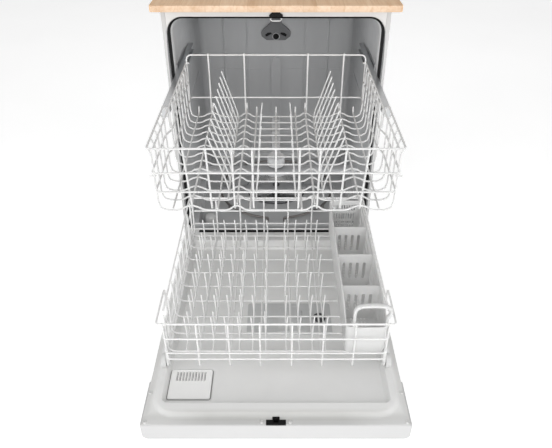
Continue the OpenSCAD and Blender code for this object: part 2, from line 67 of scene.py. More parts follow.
cam_data = bpy.data.cameras.new("camera")
cam_data.lens = 36.52
cam_data.sensor_width = 36.0
cam_data.clip_start = 0.01
cam_data.clip_end = 100.0
cam = bpy.data.objects.new("camera", cam_data)
cam.location = (0.0, MY - 1.519, 1.266)
cam.rotation_euler = (math.radians(54.9), 0.0, 0.0)
scene.collection.objects.link(cam)
scene.camera = cam


def area(name, loc, target, size, power, spread=180.0):
    d = bpy.data.lights.new(name, "AREA")
    d.energy = power
    d.size = size
    d.spread = math.radians(spread)
    o = bpy.data.objects.new(name, d)
    o.location = loc
    o.rotation_euler = (Vector(target) - Vector(loc)).to_track_quat("-Z", "Y").to_euler()
    scene.collection.objects.link(o)
    return o


area("key", (-1.5, -2.2, 2.9), (0, 0, 0.3), 1.8, 20)
area("fill", (1.8, -2.0, 2.2), (0, 0, 0.35), 2.2, 9)
area("front_low", (0.0, -3.1, 1.35), (0, 0.35, 0.66), 1.3, 2.4, 46.0)
area("front_high", (0.3, -2.6, 2.4), (0, 0.1, 0.7), 1.6, 11)
area("side_left", (-2.6, -1.15, 1.0), (0, 0.19, 0.76), 0.8, 1.7, 40.0)
area("side_right", (2.6, -1.15, 1.0), (0, 0.19, 0.76), 0.8, 1.7, 40.0)
area("back_top", (0.0, 2.4, 2.4), (0, 0.3, 0.7), 2.2, 5)

world = bpy.data.worlds.new("studio")
world.use_nodes = True
world.node_tree.nodes["Background"].inputs[0].default_value = (1.0, 1.0, 1.0, 1.0)
world.node_tree.nodes["Background"].inputs[1].default_value = 0.50
scene.world = world


# ------------------------------------------------------------------ materials
def new_mat(name):
    m = bpy.data.materials.new(name)
    m.use_nodes = True
    nt = m.node_tree
    return m, nt, nt.nodes["Principled BSDF"]


def N(nt, kind, inputs=None, **attrs):
    n = nt.nodes.new(kind)
    for k, v in attrs.items():
        setattr(n, k, v)
    for k, v in (inputs or {}).items():
        if isinstance(v, bpy.types.NodeSocket):
            nt.links.new(v, n.inputs[k])
        else:
            n.inputs[k].default_value = v
    return n


def coords(nt, scale=(1, 1, 1)):
    tc = N(nt, "ShaderNodeTexCoord")
    mp = N(nt, "ShaderNodeMapping", {"Vector": tc.outputs["Object"], "Scale": scale})
    return mp.outputs["Vector"]


def noise(nt, vec, scale, detail=3.0, rough=0.5, dist=0.0):
    return N(nt, "ShaderNodeTexNoise", {"Vector": vec, "Scale": scale, "Detail": detail, "Roughness": rough, "Distortion": dist})


def ramp(nt, fac, stops):
    r = N(nt, "ShaderNodeValToRGB", {"Fac": fac})
    e = r.color_ramp.elements
    while len(e) < len(stops):
        e.new(0.5)
    for el, (pos, col) in zip(e, stops):
        el.position = pos
        el.color = (*col, 1.0)
    return r


def to_range(nt, val, a, b, lo=0.3, hi=0.7):
    return N(nt, "ShaderNodeMapRange", {"Value": val, "From Min": lo, "From Max": hi, "To Min": a, "To Max": b}).outputs["Result"]


def shade(c, k):
    return tuple(max(0.0, min(1.0, x * k)) for x in c)


def plastic(name, base, rough=0.42, var=0.04, grain=1400.0, grain_h=0.00003, strength=0.35, coat=0.0, spec=0.5, flow=(1, 1, 1), speck=0.0, sub=0.0, painted_shade=None):
    """Moulded plastic: slow colour drift, fine spark-eroded grain, uneven gloss, and, where asked, painted shade: a
    darker band along Y and darker flanges at the sides.
    """
    m, nt, b = new_mat(name)
    v = coords(nt)
    drift = noise(nt, coords(nt, flow), 9.0, 5.0, 0.6, 0.3)
    col = ramp(nt, drift.outputs["Fac"], [(0.3, shade(base, 1 - var)), (0.5, base), (0.72, shade(base, 1 + var))])
    out = col.outputs["Color"]
    if speck:
        sp = noise(nt, v, 520.0, 2.0, 0.5)
        mask = to_range(nt, sp.outputs["Fac"], 0.0, speck, 0.62, 0.72)
        out = N(nt, "ShaderNodeMix", {"Factor": mask, "A": out, "B": (*shade(base, 0.35), 1.0)}, data_type="RGBA").outputs["Result"]
        # the RGBA sockets of the Mix node are its third pair
        mixn = out.node
        for l in list(nt.links):
            if l.to_node == mixn and l.to_socket.name in ("A", "B") and l.to_socket.type != "RGBA":
                nt.links.remove(l)
        nt.links.new(col.outputs["Color"], mixn.inputs[6])
        mixn.inputs[7].default_value = (*shade(base, 0.35), 1.0)
        out = mixn.outputs[2]
    if painted_shade:
        # painted shade: stops along Y, strongest in the middle of the door, and an even darker tone on the flange at
        # the sides
        xyz = N(nt, "ShaderNodeSeparateXYZ", {"Vector": v})
        across = N(nt, "ShaderNodeMath", {0: xyz.outputs["X"]}, operation="ABSOLUTE").outputs[0]
        ya, yb = painted_shade[0][0], painted_shade[-1][0]
        tone = ramp(nt, to_range(nt, xyz.outputs["Y"], 0.0, 1.0, ya, yb), [((q - ya) / (yb - ya), shade((1.0, 1.0, t), k)) for q, k, t in painted_shade])
        drop = N(nt, "ShaderNodeVectorMath", {0: tone.outputs["Color"], 1: (1.0, 1.0, 1.0)}, operation="SUBTRACT").outputs[0]
        drop = N(nt, "ShaderNodeVectorMath", {0: drop, "Scale": to_range(nt, across, 1.0, 0.45, 0.15, 0.262)}, operation="SCALE").outputs[0]
        tone = N(nt, "ShaderNodeVectorMath", {0: drop, 1: (1.0, 1.0, 1.0)}, operation="ADD").outputs[0]
        side = ramp(nt, to_range(nt, across, 0.0, 1.0, 0.280, 0.290), [(0.0, (1.0, 1.0, 1.0)), (1.0, (0.885, 0.885, 0.88))])
        tone = N(nt, "ShaderNodeVectorMath", {0: tone, 1: side.outputs["Color"]}, operation="MINIMUM").outputs[0]
        out = N(nt, "ShaderNodeVectorMath", {0: out, 1: tone}, operation="MULTIPLY").outputs[0]
    nt.links.new(out, b.inputs["Base Color"])
    gl = noise(nt, v, 46.0, 4.0, 0.55)
    nt.links.new(to_range(nt, gl.outputs["Fac"], rough - 0.06, rough + 0.07), b.inputs["Roughness"])
    fine = noise(nt, v, grain, 3.0, 0.6)
    broad = noise(nt, v, 14.0, 2.0, 0.5)
    b1 = N(nt, "ShaderNodeBump", {"Height": broad.outputs["Fac"], "Strength": 0.12, "Distance": 0.0016})
    b2 = N(nt, "ShaderNodeBump", {"Height": fine.outputs["Fac"], "Strength": strength, "Distance": grain_h, "Normal": b1.outputs["Normal"]})
    nt.links.new(b2.outputs["Normal"], b.inputs["Normal"])
    b.inputs["Specular IOR Level"].default_value = spec
    if coat:
        b.inputs["Coat Weight"].default_value = coat
        b.inputs["Coat Roughness"].default_value = 0.18
    if sub:
        b.inputs["Subsurface Weight"].default_value = sub
        b.inputs["Subsurface Radius"].default_value = (0.004, 0.004, 0.004)
    return m


def enamel(name, base, lip=None):
    """Sprayed and baked enamel: orange peel, faint waviness of the sheet, and painted shade on the pressed lip at the
    front.
    """
    m, nt, b = new_mat(name)
    v = coords(nt)
    drift = noise(nt, v, 3.5, 4.0, 0.6, 0.2)
    col = ramp(nt, drift.outputs["Fac"], [(0.3, shade(base, 0.975)), (0.7, shade(base, 1.015))])
    out = col.outputs["Color"]
    if lip is not None:
        # painted shade: the front lip is darkened to 0.79 of the base over its first 5 mm in Y
        y = N(nt, "ShaderNodeSeparateXYZ", {"Vector": v}).outputs["Y"]
        out = N(nt, "ShaderNodeVectorMath", {0: out, "Scale": to_range(nt, y, 0.79, 1.0, lip + 0.001, lip + 0.006)}, operation="SCALE").outputs[0]
    nt.links.new(out, b.inputs["Base Color"])
    gl = noise(nt, v, 7.0, 3.0, 0.5)
    nt.links.new(to_range(nt, gl.outputs["Fac"], 0.30, 0.36), b.inputs["Roughness"])
    peel = noise(nt, v, 360.0, 1.0, 0.3)
    sheet = noise(nt, v, 4.0, 1.0, 0.4)
    b1 = N(nt, "ShaderNodeBump", {"Height": sheet.outputs["Fac"], "Strength": 0.08, "Distance": 0.003})
    b2 = N(nt, "ShaderNodeBump", {"Height": peel.outputs["Fac"], "Strength": 0.10, "Distance": 0.00006, "Normal": b1.outputs["Normal"]})
    nt.links.new(b2.outputs["Normal"], b.inputs["Normal"])
    b.inputs["Coat Weight"].default_value = 0.25
    b.inputs["Coat Roughness"].default_value = 0.12
    return m


def zinc(name, base=(0.62, 0.63, 0.64), rough=0.34, spangle=True, stretch=(1, 1, 1)):
    """Zinc plated sheet: crystalline spangle, drawing lines and dull patches."""
    m, nt, b = new_mat(name)
    v = coords(nt)
    if spangle:
        vo = N(nt, "ShaderNodeTexVoronoi", {"Vector": v, "Scale": 130.0, "Randomness": 1.0})
        val = vo.outputs["Color"]
        sep = N(nt, "ShaderNodeSeparateColor", {"Color": val})
        fac = sep.outputs["Red"]
    else:
        fac = noise(nt, coords(nt, stretch), 60.0, 6.0, 0.7).outputs["Fac"]
    lo, hi = (0.94, 1.03) if spangle else (0.86, 1.06)
    col = ramp(nt, fac, [(0.15, shade(base, lo)), (0.85, shade(base, hi))])
    nt.links.new(col.outputs["Color"], b.inputs["Base Color"])
    pat = noise(nt, v, 9.0, 4.0, 0.55)
    nt.links.new(to_range(nt, pat.outputs["Fac"], rough - 0.03, rough + 0.06), b.inputs["Roughness"])
    lines = noise(nt, coords(nt, stretch), 700.0, 2.0, 0.6)
    bp = N(nt, "ShaderNodeBump", {"Height": lines.outputs["Fac"], "Strength": 0.3, "Distance": 0.00004})
    nt.links.new(bp.outputs["Normal"], b.inputs["Normal"])
    b.inputs["Metallic"].default_value = 1.0
    return m


def rubber(name, base=(0.007, 0.007, 0.0075), rough=0.6, dust_k=0.008, spec=0.25):
    m, nt, b = new_mat(name)
    v = coords(nt)
    dust = noise(nt, v, 34.0, 6.0, 0.7)
    col = ramp(nt, dust.outputs["Fac"], [(0.42, base), (0.78, tuple(x + dust_k for x in base))])
    nt.links.new(col.outputs["Color"], b.inputs["Base Color"])
    nt.links.new(to_range(nt, dust.outputs["Fac"], rough - 0.08, rough + 0.12), b.inputs["Roughness"])
    f = noise(nt, v, 1100.0, 3.0, 0.6)
    bp = N(nt, "ShaderNodeBump", {"Height": f.outputs["Fac"], "Strength": 0.4, "Distance": 0.00006})
    nt.links.new(bp.outputs["Normal"], b.inputs["Normal"])
    b.inputs["Specular IOR Level"].default_value = spec
    return m


def cast_iron(name):
    m, nt, b = new_mat(name)
    v = coords(nt)
    rust = noise(nt, v, 22.0, 8.0, 0.7, 0.6)
    col = ramp(nt, rust.outputs["Fac"], [(0.35, (0.05, 0.05, 0.052)), (0.6, (0.075, 0.07, 0.067)), (0.78, (0.13, 0.075, 0.045))])
    nt.links.new(col.outputs["Color"], b.inputs["Base Color"])
    nt.links.new(to_range(nt, rust.outputs["Fac"], 0.55, 0.85), b.inputs["Roughness"])
    sand = noise(nt, v, 320.0, 6.0, 0.7)
    bp = N(nt, "ShaderNodeBump", {"Height": sand.outputs["Fac"], "Strength": 0.8, "Distance": 0.0007})
    nt.links.new(bp.outputs["Normal"], b.inputs["Normal"])
    b.inputs["Metallic"].default_value = 0.35
    return m


def maple(name):
    """Edge-glued maple staves that run from front to back, each with its own tone and grain."""
    m, nt, b = new_mat(name)
    v = coords(nt)
    v = N(nt, "ShaderNodeMapping", {"Vector": v, "Rotation": (0, 0, math.pi / 2), "Location": (5.0, 5.0, 0.0)}).outputs["Vector"]
    brick = N(nt, "ShaderNodeTexBrick", {"Vector": v, "Scale": 1.0, "Color1": (0.0, 0.0, 0.0, 1), "Color2": (1.0, 1.0, 1.0, 1), "Mortar": (0.0, 0.0, 0.0, 1),
              "Mortar Size": 0.00025, "Mortar Smooth": 0.5, "Bias": 0.0, "Brick Width": 0.43, "Row Height": 0.034})
    brick.offset = 0.37
    brick.offset_frequency = 2
    tone = N(nt, "ShaderNodeSeparateColor", {"Color": brick.outputs["Color"]}).outputs["Red"]
    shift = N(nt, "ShaderNodeMath", {0: tone, 1: 7.3}, operation="MULTIPLY").outputs[0]
    sx = N(nt, "ShaderNodeSeparateXYZ", {"Vector": v})
    moved = N(nt, "ShaderNodeMath", {0: sx.outputs["Z"], 1: shift}, operation="ADD").outputs[0]
    gv = N(nt, "ShaderNodeCombineXYZ", {"X": sx.outputs["X"], "Y": sx.outputs["Y"], "Z": moved})
    st = N(nt, "ShaderNodeMapping", {"Vector": gv.outputs["Vector"], "Scale": (2.6, 46.0, 46.0)}).outputs["Vector"]
    grain = noise(nt, st, 1.9, 7.0, 0.62, 0.9)
    fine = noise(nt, N(nt, "ShaderNodeMapping", {"Vector": gv.outputs["Vector"], "Scale": (16.0, 700.0, 700.0)}).outputs["Vector"], 1.0, 3.0, 0.6)
    col = ramp(nt, grain.outputs["Fac"], [(0.30, (0.83, 0.61, 0.41)), (0.48, (0.785, 0.555, 0.36)), (0.60, (0.73, 0.49, 0.30)), (0.75, (0.65, 0.405, 0.235))])
    t1 = N(nt, "ShaderNodeMix", {"Factor": 0.12}, data_type="RGBA", blend_type="MULTIPLY")
    nt.links.new(col.outputs["Color"], t1.inputs[6])
    tonecol = ramp(nt, tone, [(0.0, (0.76, 0.66, 0.55)), (1.0, (1.0, 1.0, 1.0))])
    t1.inputs[0].default_value = 0.45
    nt.links.new(tonecol.outputs["Color"], t1.inputs[7])
    t2 = N(nt, "ShaderNodeMix", data_type="RGBA", blend_type="MULTIPLY")
    t2.inputs[0].default_value = 0.25
    nt.links.new(t1.outputs[2], t2.inputs[6])
    nt.links.new(ramp(nt, fine.outputs["Fac"], [(0.35, (0.72, 0.62, 0.5)), (0.55, (1, 1, 1))]).outputs["Color"], t2.inputs[7])
    # the glue lines between the staves
    t3 = N(nt, "ShaderNodeMix", data_type="RGBA", blend_type="MIX")
    nt.links.new(N(nt, "ShaderNodeMath", {0: brick.outputs["Fac"], 1: 0.55}, operation="MULTIPLY").outputs[0], t3.inputs[0])
    nt.links.new(t2.outputs[2], t3.inputs[6])
    t3.inputs[7].default_value = (0.42, 0.25, 0.12, 1)
    # painted light: the worktop's front face gets its own tone, less red and more blue, to show it lit more strongly
    # than the top
    yy = N(nt, "ShaderNodeSeparateXYZ", {"Vector": coords(nt)}).outputs["Y"]
    lit_front_tone = N(nt, "ShaderNodeVectorMath", {0: t3.outputs[2], 1: (0.90, 0.965, 1.10)}, operation="MULTIPLY").outputs[0]
    t4 = N(nt, "ShaderNodeMix", data_type="RGBA", blend_type="MIX")
    nt.links.new(to_range(nt, yy, 1.0, 0.0, MY - 0.1014, MY - 0.0996), t4.inputs[0])
    nt.links.new(t3.outputs[2], t4.inputs[6])
    nt.links.new(lit_front_tone, t4.inputs[7])
    nt.links.new(t4.outputs[2], b.inputs["Base Color"])
    nt.links.new(to_range(nt, grain.outputs["Fac"], 0.5, 0.62), b.inputs["Roughness"])
    h = N(nt, "ShaderNodeMath", {0: fine.outputs["Fac"], 1: 0.5}, operation="MULTIPLY").outputs[0]
    bp = N(nt, "ShaderNodeBump", {"Height": h, "Strength": 0.35, "Distance": 0.00018})
    gl = N(nt, "ShaderNodeBump", {"Height": brick.outputs["Fac"], "Strength": 0.3, "Distance": 0.0002, "Normal": bp.outputs["Normal"]})
    gl.invert = True
    nt.links.new(gl.outputs["Normal"], b.inputs["Normal"])
    b.inputs["Specular IOR Level"].default_value = 0.3
    return m


def floor_mat(name):
    m, nt, b = new_mat(name)
    v = coords(nt)
    n = noise(nt, v, 2.0, 4.0, 0.6)
    tone = ramp(nt, n.outputs["Fac"], [(0.3, (0.93, 0.93, 0.93)), (0.7, (0.95, 0.95, 0.95))]).outputs["Color"]
    nt.links.new(tone, b.inputs["Base Color"])
    nt.links.new(tone, b.inputs["Emission Color"])
    b.inputs["Emission Strength"].default_value = 0.42
    b.inputs["Roughness"].default_value = 0.8
    b.inputs["Specular IOR Level"].default_value = 0.1
    return m


M_WOOD = maple("maple_staves")
M_WHITE = enamel("white_enamel", (0.65, 0.65, 0.648))
# the side panels' enamel carries painted shade on its front lip
M_FRAME = enamel("frame_enamel", (0.65, 0.65, 0.648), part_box("side_panel_left")[0].y)
M_CONSOLE = plastic("white_moulding", (0.67, 0.67, 0.67), rough=0.34, var=0.012, grain=1700, strength=0.2, coat=0.2)
M_TUB = plastic("grey_tub_moulding", (0.53, 0.535, 0.542), rough=0.36, var=0.05, grain=1500, strength=0.3, flow=(1, 1, 0.35))
# dark grey for the strip beside the door seal: painted shade; the strip also stands for the tub's flange showing there
M_FLANGE_SHADE = plastic("flange_shade_moulding", (0.175, 0.177, 0.18), rough=0.42, var=0.04, grain=1400, strength=0.35)
# grey for the thin ring in the moat round the drying vent: painted shade for the moat's dark outline
M_VENT_MOAT_SHADE = plastic("vent_moat_shade_grey", (0.33, 0.33, 0.325), rough=0.55, var=0.05, grain=1400, strength=0.35)
M_NOZZLE = plastic("slate_moulding", (0.17, 0.172, 0.178), rough=0.42, var=0.08, grain=1400, strength=0.35)
# painted shade: the liner is darkened along Y near its edge by the latch, and on its side flanges
M_LINER = plastic("liner_moulding", (0.82, 0.82, 0.812), rough=0.40, var=0.02, grain=1500, strength=0.3,
                  painted_shade=[(MY - 0.764, 0.75, 1.0), (MY - 0.757, 0.735, 0.995), (MY - 0.7515, 0.68, 0.985), (MY - 0.7445, 0.68, 0.98), (MY - 0.7395, 0.78, 0.985), (MY - 0.733, 0.93, 0.99), (MY - 0.727, 1.0, 1.0)])
M_VENT = plastic("vent_moulding", (0.93, 0.93, 0.922), rough=0.38, var=0.015, grain=1700, strength=0.25)
M_DISP = plastic("dispenser_moulding", (0.58, 0.585, 0.585), rough=0.36, var=0.02, grain=1800, strength=0.25)
M_ARM = plastic("spray_arm_moulding", (0.33, 0.335, 0.345), rough=0.38, var=0.05, grain=1600, strength=0.3)
M_DARK = plastic("black_moulding", (0.0065, 0.0065, 0.007), rough=0.46, var=0.3, grain=1500, strength=0.35, spec=0.16)
M_SOOT = plastic("charcoal_moulding", (0.07, 0.07, 0.075), rough=0.45, var=0.12, grain=1300, strength=0.4)
M_LIGHT = plastic("pale_moulding", (0.70, 0.70, 0.695), rough=0.36, var=0.03, grain=1700, strength=0.25)
M_BASKET = plastic("basket_moulding", (0.70, 0.70, 0.695), rough=0.42, var=0.02, grain=1500, strength=0.3)
M_VINYL = plastic("white_vinyl_dip", (0.64, 0.64, 0.636), rough=0.30, var=0.03, grain=260, grain_h=0.00012, strength=0.25, coat=0.1)
# a lighter copy of the same white vinyl, used on the lower rack: painted light
M_VINYL_LIT_COPY = plastic("white_vinyl_lit_copy", (0.80, 0.80, 0.795), rough=0.30, var=0.03, grain=260, grain_h=0.00012, strength=0.25, coat=0.1)
M_BUTTON = plastic("button_moulding", (0.45, 0.455, 0.465), rough=0.36, var=0.03, grain=1700, strength=0.25)
M_BOARD = plastic("solder_mask", (0.02, 0.12, 0.05), rough=0.3, var=0.15, grain=700, strength=0.4, coat=0.4, speck=0.6)
M_RUBBER = rubber("door_gasket_rubber")
M_TYRE = rubber("caster_tread", base=(0.035, 0.035, 0.036), rough=0.6, dust_k=0.03, spec=0.45)
M_ZINC = zinc("zinc_sheet")
M_BRIGHT = zinc("bright_steel", base=(0.72, 0.72, 0.72), rough=0.24, spangle=False, stretch=(1, 1, 12))
M_SCREW = zinc("plated_screw", base=(0.93, 0.93, 0.925), rough=0.42, spangle=False, stretch=(1, 1, 1))
M_RAIL = zinc("drawn_rail", base=(0.66, 0.67, 0.68), rough=0.28, spangle=False, stretch=(14, 0.6, 14))
M_HEAT = zinc("heater_sheath", base=(0.30, 0.28, 0.27), rough=0.42, spangle=False, stretch=(3, 3, 20))
M_IRON = cast_iron("sand_cast_iron")


# ------------------------------------------------------------------ mesh helpers
def sm(t):
    t = np.clip(t, 0.0, 1.0)
    return t * t * (3 - 2 * t)


def fillet(pts, r, n=5, closed=False):
    """A path with every inner corner rounded, tangent to both legs."""
    p = [np.array(q, float) for q in pts]
    k = len(p)
    rs = r if isinstance(r, (list, tuple)) else [r] * k
    out = []
    for i in range(k):
        if not closed and i in (0, k - 1):
            out.append(p[i])
            continue
        a, b, c = p[i - 1], p[i], p[(i + 1) % k]
        u, w = a - b, c - b
        lu, lw = np.linalg.norm(u), np.linalg.norm(w)
        if lu < 1e-9 or lw < 1e-9 or rs[i] <= 0:
            out.append(b)
            continue
        u, w = u / lu, w / lw
        ang = math.acos(max(-1, min(1, float(u @ w))))
        if ang > math.pi - 0.02:
            out.append(b)
            continue
        t = min(rs[i] / math.tan(ang / 2), lu * 0.48, lw * 0.48)
        p0, p2 = b + u * t, b + w * t
        for j in range(n + 1):
            s = j / n
            out.append((1 - s) ** 2 * p0 + 2 * s * (1 - s) * (b * 0.86 + (p0 + p2) * 0.07) + s * s * p2)
    return out


class Geo:
    def __init__(self):
        self.v, self.f = [], []

    def put(self, verts, faces):
        n = len(self.v)
        self.v.extend([tuple(map(float, q)) for q in verts])
        self.f.extend([tuple(i + n for i in f) for f in faces])

    def tube(self, pts, r, seg=8, closed=False, round_ends=True, flat=1.0):
        """A round wire along a path."""
        p = np.array(pts, float)
        keep = [0] + [i for i in range(1, len(p)) if np.linalg.norm(p[i] - p[i - 1]) > 1e-4]
        p = p[keep]
        if closed and np.linalg.norm(p[0] - p[-1]) < 1e-4:
            p = p[:-1]
        k = len(p)
        d = np.diff(p, axis=0)
        d /= np.linalg.norm(d, axis=1)[:, None]
        if closed:
            last = p[0] - p[-1]
            d = np.vstack([d, last / np.linalg.norm(last)])
            t = d + np.roll(d, 1, axis=0)
        else:
            t = np.vstack([d[:1], d[:-1] + d[1:], d[-1:]])
        t /= np.linalg.norm(t, axis=1)[:, None]
        ref = np.array([0, 0, 1.0]) if abs(t[0][2]) < 0.9 else np.array([0, 1.0, 0])
        nrm = np.cross(t[0], ref)
        nrm /= np.linalg.norm(nrm)
        rings = []
        an = np.arange(seg) * 2 * math.pi / seg
        for i in range(k):
            nrm = nrm - t[i] * (nrm @ t[i])
            nrm /= np.linalg.norm(nrm)
            bi = np.cross(t[i], nrm)
            rings.append((p[i], nrm.copy(), bi, r if np.isscalar(r) else r[i]))
        verts, faces = [], []

        def ring(c, a, b, rr):
            for q in an:
                verts.append(c + a * math.cos(q) * rr + b * math.sin(q) * rr * flat)

        plan = []
        if not closed and round_ends:
            c, a, b, rr = rings[0]
            for s, q in ((0.92, 0.40), (0.55, 0.84)):
                plan.append((c - t[0] * rr * s + t[0] * rr * 0.0, a, b, rr * q))
        plan += rings
        if not closed and round_ends:
            c, a, b, rr = rings[-1]
            for s, q in ((0.55, 0.84), (0.92, 0.40)):
                plan.append((c + t[-1] * rr * s, a, b, rr * q))
        for q in plan:
            ring(*q)
        m = len(plan)
        for i in range(m if closed else m - 1):
            j = (i + 1) % m
            for s in range(seg):
                e = (s + 1) % seg
                faces.append((i * seg + s, i * seg + e, j * seg + e, j * seg + s))
        if not closed:
            faces.append(tuple(reversed(range(seg))))
            faces.append(tuple((m - 1) * seg + s for s in range(seg)))
        self.put(verts, faces)
        return self

    def prism(self, outline, lo, hi, axis="z", holes=()):
        """A flat outline with holes, given thickness along an axis. The outline is (x, y), (x, z) or (y, z)."""
        loops = [list(outline)] + [list(h) for h in holes]

        def area2(l):
            return sum(l[i][0] * l[(i + 1) % len(l)][1] - l[(i + 1) % len(l)][0] * l[i][1] for i in range(len(l)))

        loops[0] = loops[0] if area2(loops[0]) > 0 else loops[0][::-1]
        for i in range(1, len(loops)):
            loops[i] = loops[i] if area2(loops[i]) < 0 else loops[i][::-1]

        def at(q, h):
            return {"z": (q[0], q[1], h), "y": (q[0], h, q[1]), "x": (h, q[0], q[1])}[axis]

        flat = [q for l in loops for q in l]
        n = len(flat)
        if len(loops) == 1:
            caps = [tuple(range(n))]
        else:
            tris = tessellate_polygon([[Vector((a, b, 0)) for a, b in l] for l in loops])
            caps = []
            for tr in tris:
                (x0, y0), (x1, y1), (x2, y2) = (flat[i] for i in tr)
                s = (x1 - x0) * (y2 - y0) - (x2 - x0) * (y1 - y0)
                if abs(s) > 1e-9:
                    caps.append(tuple(tr) if s > 0 else tuple(reversed(tr)))
        flip = axis == "y"
        verts = [at(q, lo) for q in flat] + [at(q, hi) for q in flat]
        faces = []
        for c in caps:
            top, bot = tuple(i + n for i in c), tuple(reversed(c))
            faces += [top, bot] if not flip else [tuple(reversed(top)), tuple(reversed(bot))]
        s = 0
        for l in loops:
            for i in range(len(l)):
                a, b = s + i, s + (i + 1) % len(l)
                q = (a, b, b + n, a + n)
                faces.append(q if not flip else tuple(reversed(q)))
            s += len(l)
        self.put(verts, faces)
        return self

    def lathe(self, prof, centre, axis="z", seg=32, arc=None):
        """Turned shape: prof is a closed or axis-to-axis list of (radius, height)."""
        verts, faces = [], []
        cx, cy, cz = centre
        closed = prof[0][0] > 1e-6 and prof[-1][0] > 1e-6
        for i in range(seg):
            a = 2 * math.pi * i / seg
            for r, h in prof:
                u, w = r * math.cos(a), r * math.sin(a)
                verts.append({"z": (cx + u, cy + w, cz + h), "x": (cx + h, cy + u, cz + w), "y": (cx + w, cy + h, cz + u)}[axis])
        k = len(prof)
        for i in range(seg):
            j = (i + 1) % seg
            for q in range(k if closed else k - 1):
                w = (q + 1) % k
                a, b, c, d = i * k + q, j * k + q, j * k + w, i * k + w
                f = []
                for x in (a, b, c, d):
                    if x not in f and not any(np.allclose(verts[x], verts[y], atol=1e-7) for y in f):
                        f.append(x)
                if len(f) > 2:
                    faces.append(tuple(f))
        self.put(verts, faces)
        return self

    def loft(self, rings, cap0=True, cap1=True):
        n = len(rings[0])
        verts = [q for r in rings for q in r]
        faces = []
        for i in range(len(rings) - 1):
            for s in range(n):
                e = (s + 1) % n
                faces.append((i * n + s, i * n + e, (i + 1) * n + e, (i + 1) * n + s))
        if cap0:
            faces.append(tuple(reversed(range(n))))
        if cap1:
            faces.append(tuple((len(rings) - 1) * n + s for s in range(n)))
        self.put(verts, faces)
        return self

    def ball(self, c, r, flat=1.0):
        k = 5
        prof = [(0, -r * flat)] + [(r * math.cos(a), r * flat * math.sin(a)) for a in np.linspace(-math.pi / 2, math.pi / 2, k)[1:-1]] + [(0, r * flat)]
        return self.lathe(prof, c, "z", 8)

    def shell(self, outer, inner, mask, closed_u=False):
        """A sheet with two skins and holes: outer and inner are grids of points, mask says which cells are solid."""
        nu, nv = outer.shape[0], outer.shape[1]
        cu, cv = (nu if closed_u else nu - 1), nv - 1
        o0, i0 = 0, nu * nv
        verts = np.concatenate([outer.reshape(-1, 3), inner.reshape(-1, 3)])
        used = np.zeros(len(verts), bool)
        faces = []

        def vid(u, v, skin):
            return skin + (u % nu) * nv + v

        for u in range(cu):
            for v in range(cv):
                if not mask[u, v]:
                    continue
                faces.append((vid(u, v, o0), vid(u + 1, v, o0), vid(u + 1, v + 1, o0), vid(u, v + 1, o0)))
                faces.append((vid(u, v, i0), vid(u, v + 1, i0), vid(u + 1, v + 1, i0), vid(u + 1, v, i0)))
                left = mask[(u - 1) % cu, v] if (closed_u or u > 0) else False
                right = mask[(u + 1) % cu, v] if (closed_u or u < cu - 1) else False
                down = mask[u, v - 1] if v > 0 else False
                up = mask[u, v + 1] if v < cv - 1 else False
                if not left:
                    faces.append((vid(u, v, o0), vid(u, v + 1, o0), vid(u, v + 1, i0), vid(u, v, i0)))
                if not right:
                    faces.append((vid(u + 1, v + 1, o0), vid(u + 1, v, o0), vid(u + 1, v, i0), vid(u + 1, v + 1, i0)))
                if not down:
                    faces.append((vid(u + 1, v, o0), vid(u, v, o0), vid(u, v, i0), vid(u + 1, v, i0)))
                if not up:
                    faces.append((vid(u, v + 1, o0), vid(u + 1, v + 1, o0), vid(u + 1, v + 1, i0), vid(u, v + 1, i0)))
        for f in faces:
            used[list(f)] = True
        idx = np.cumsum(used) - 1
        self.put(verts[used], [tuple(int(idx[i]) for i in f) for f in faces])
        return self

    def mirrored(self):
        """The same again on the other side of X = 0."""
        n = len(self.v)
        self.v += [(-x, y, z) for x, y, z in self.v[:n]]
        self.f += [tuple(reversed([i + n for i in f])) for f in list(self.f)]
        return self

    def make(self, name, mat, body, smooth=35.0, bevel=0.0, seg=2, replaces=(), slot=None, limit=30.0, recalc=True, merge=False):
        me = bpy.data.meshes.new(name)
        me.from_pydata([row(q) for q in self.v], [], self.f)
        if recalc:
            bm = bmesh.new()
            bm.from_mesh(me)
            if merge:
                bmesh.ops.remove_doubles(bm, verts=bm.verts, dist=2e-6)
            bmesh.ops.recalc_face_normals(bm, faces=bm.faces)
            bm.to_mesh(me)
            bm.free()
        me.validate()
        return finish_piece(name, me, mat, body, smooth, bevel, seg, replaces, limit)


def finish_piece(name, me, mat, body, smooth=35.0, bevel=0.0, seg=2, replaces=(), limit=30.0):
    me.polygons.foreach_set("use_smooth", [True] * len(me.polygons))
    me.set_sharp_from_angle(angle=math.radians(smooth))
    me.materials.append(mat)
    me.update()
    o = bpy.data.objects.new(name, me)
    scene.collection.objects.link(o)
    if bevel:
        b = o.modifiers.new("edges", "BEVEL")
        b.width = bevel * 0.001
        b.segments = seg
        b.limit_method = "ANGLE"
        b.angle_limit = math.radians(limit)
        b.harden_normals = True
        b.use_clamp_overlap = True
    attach(o, body)
    if replaces:
        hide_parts(*replaces)
    return o


BODY_OF = {n: b for b, ns in frame["record"]["behaviour"]["bodies"].items() for n in ns}


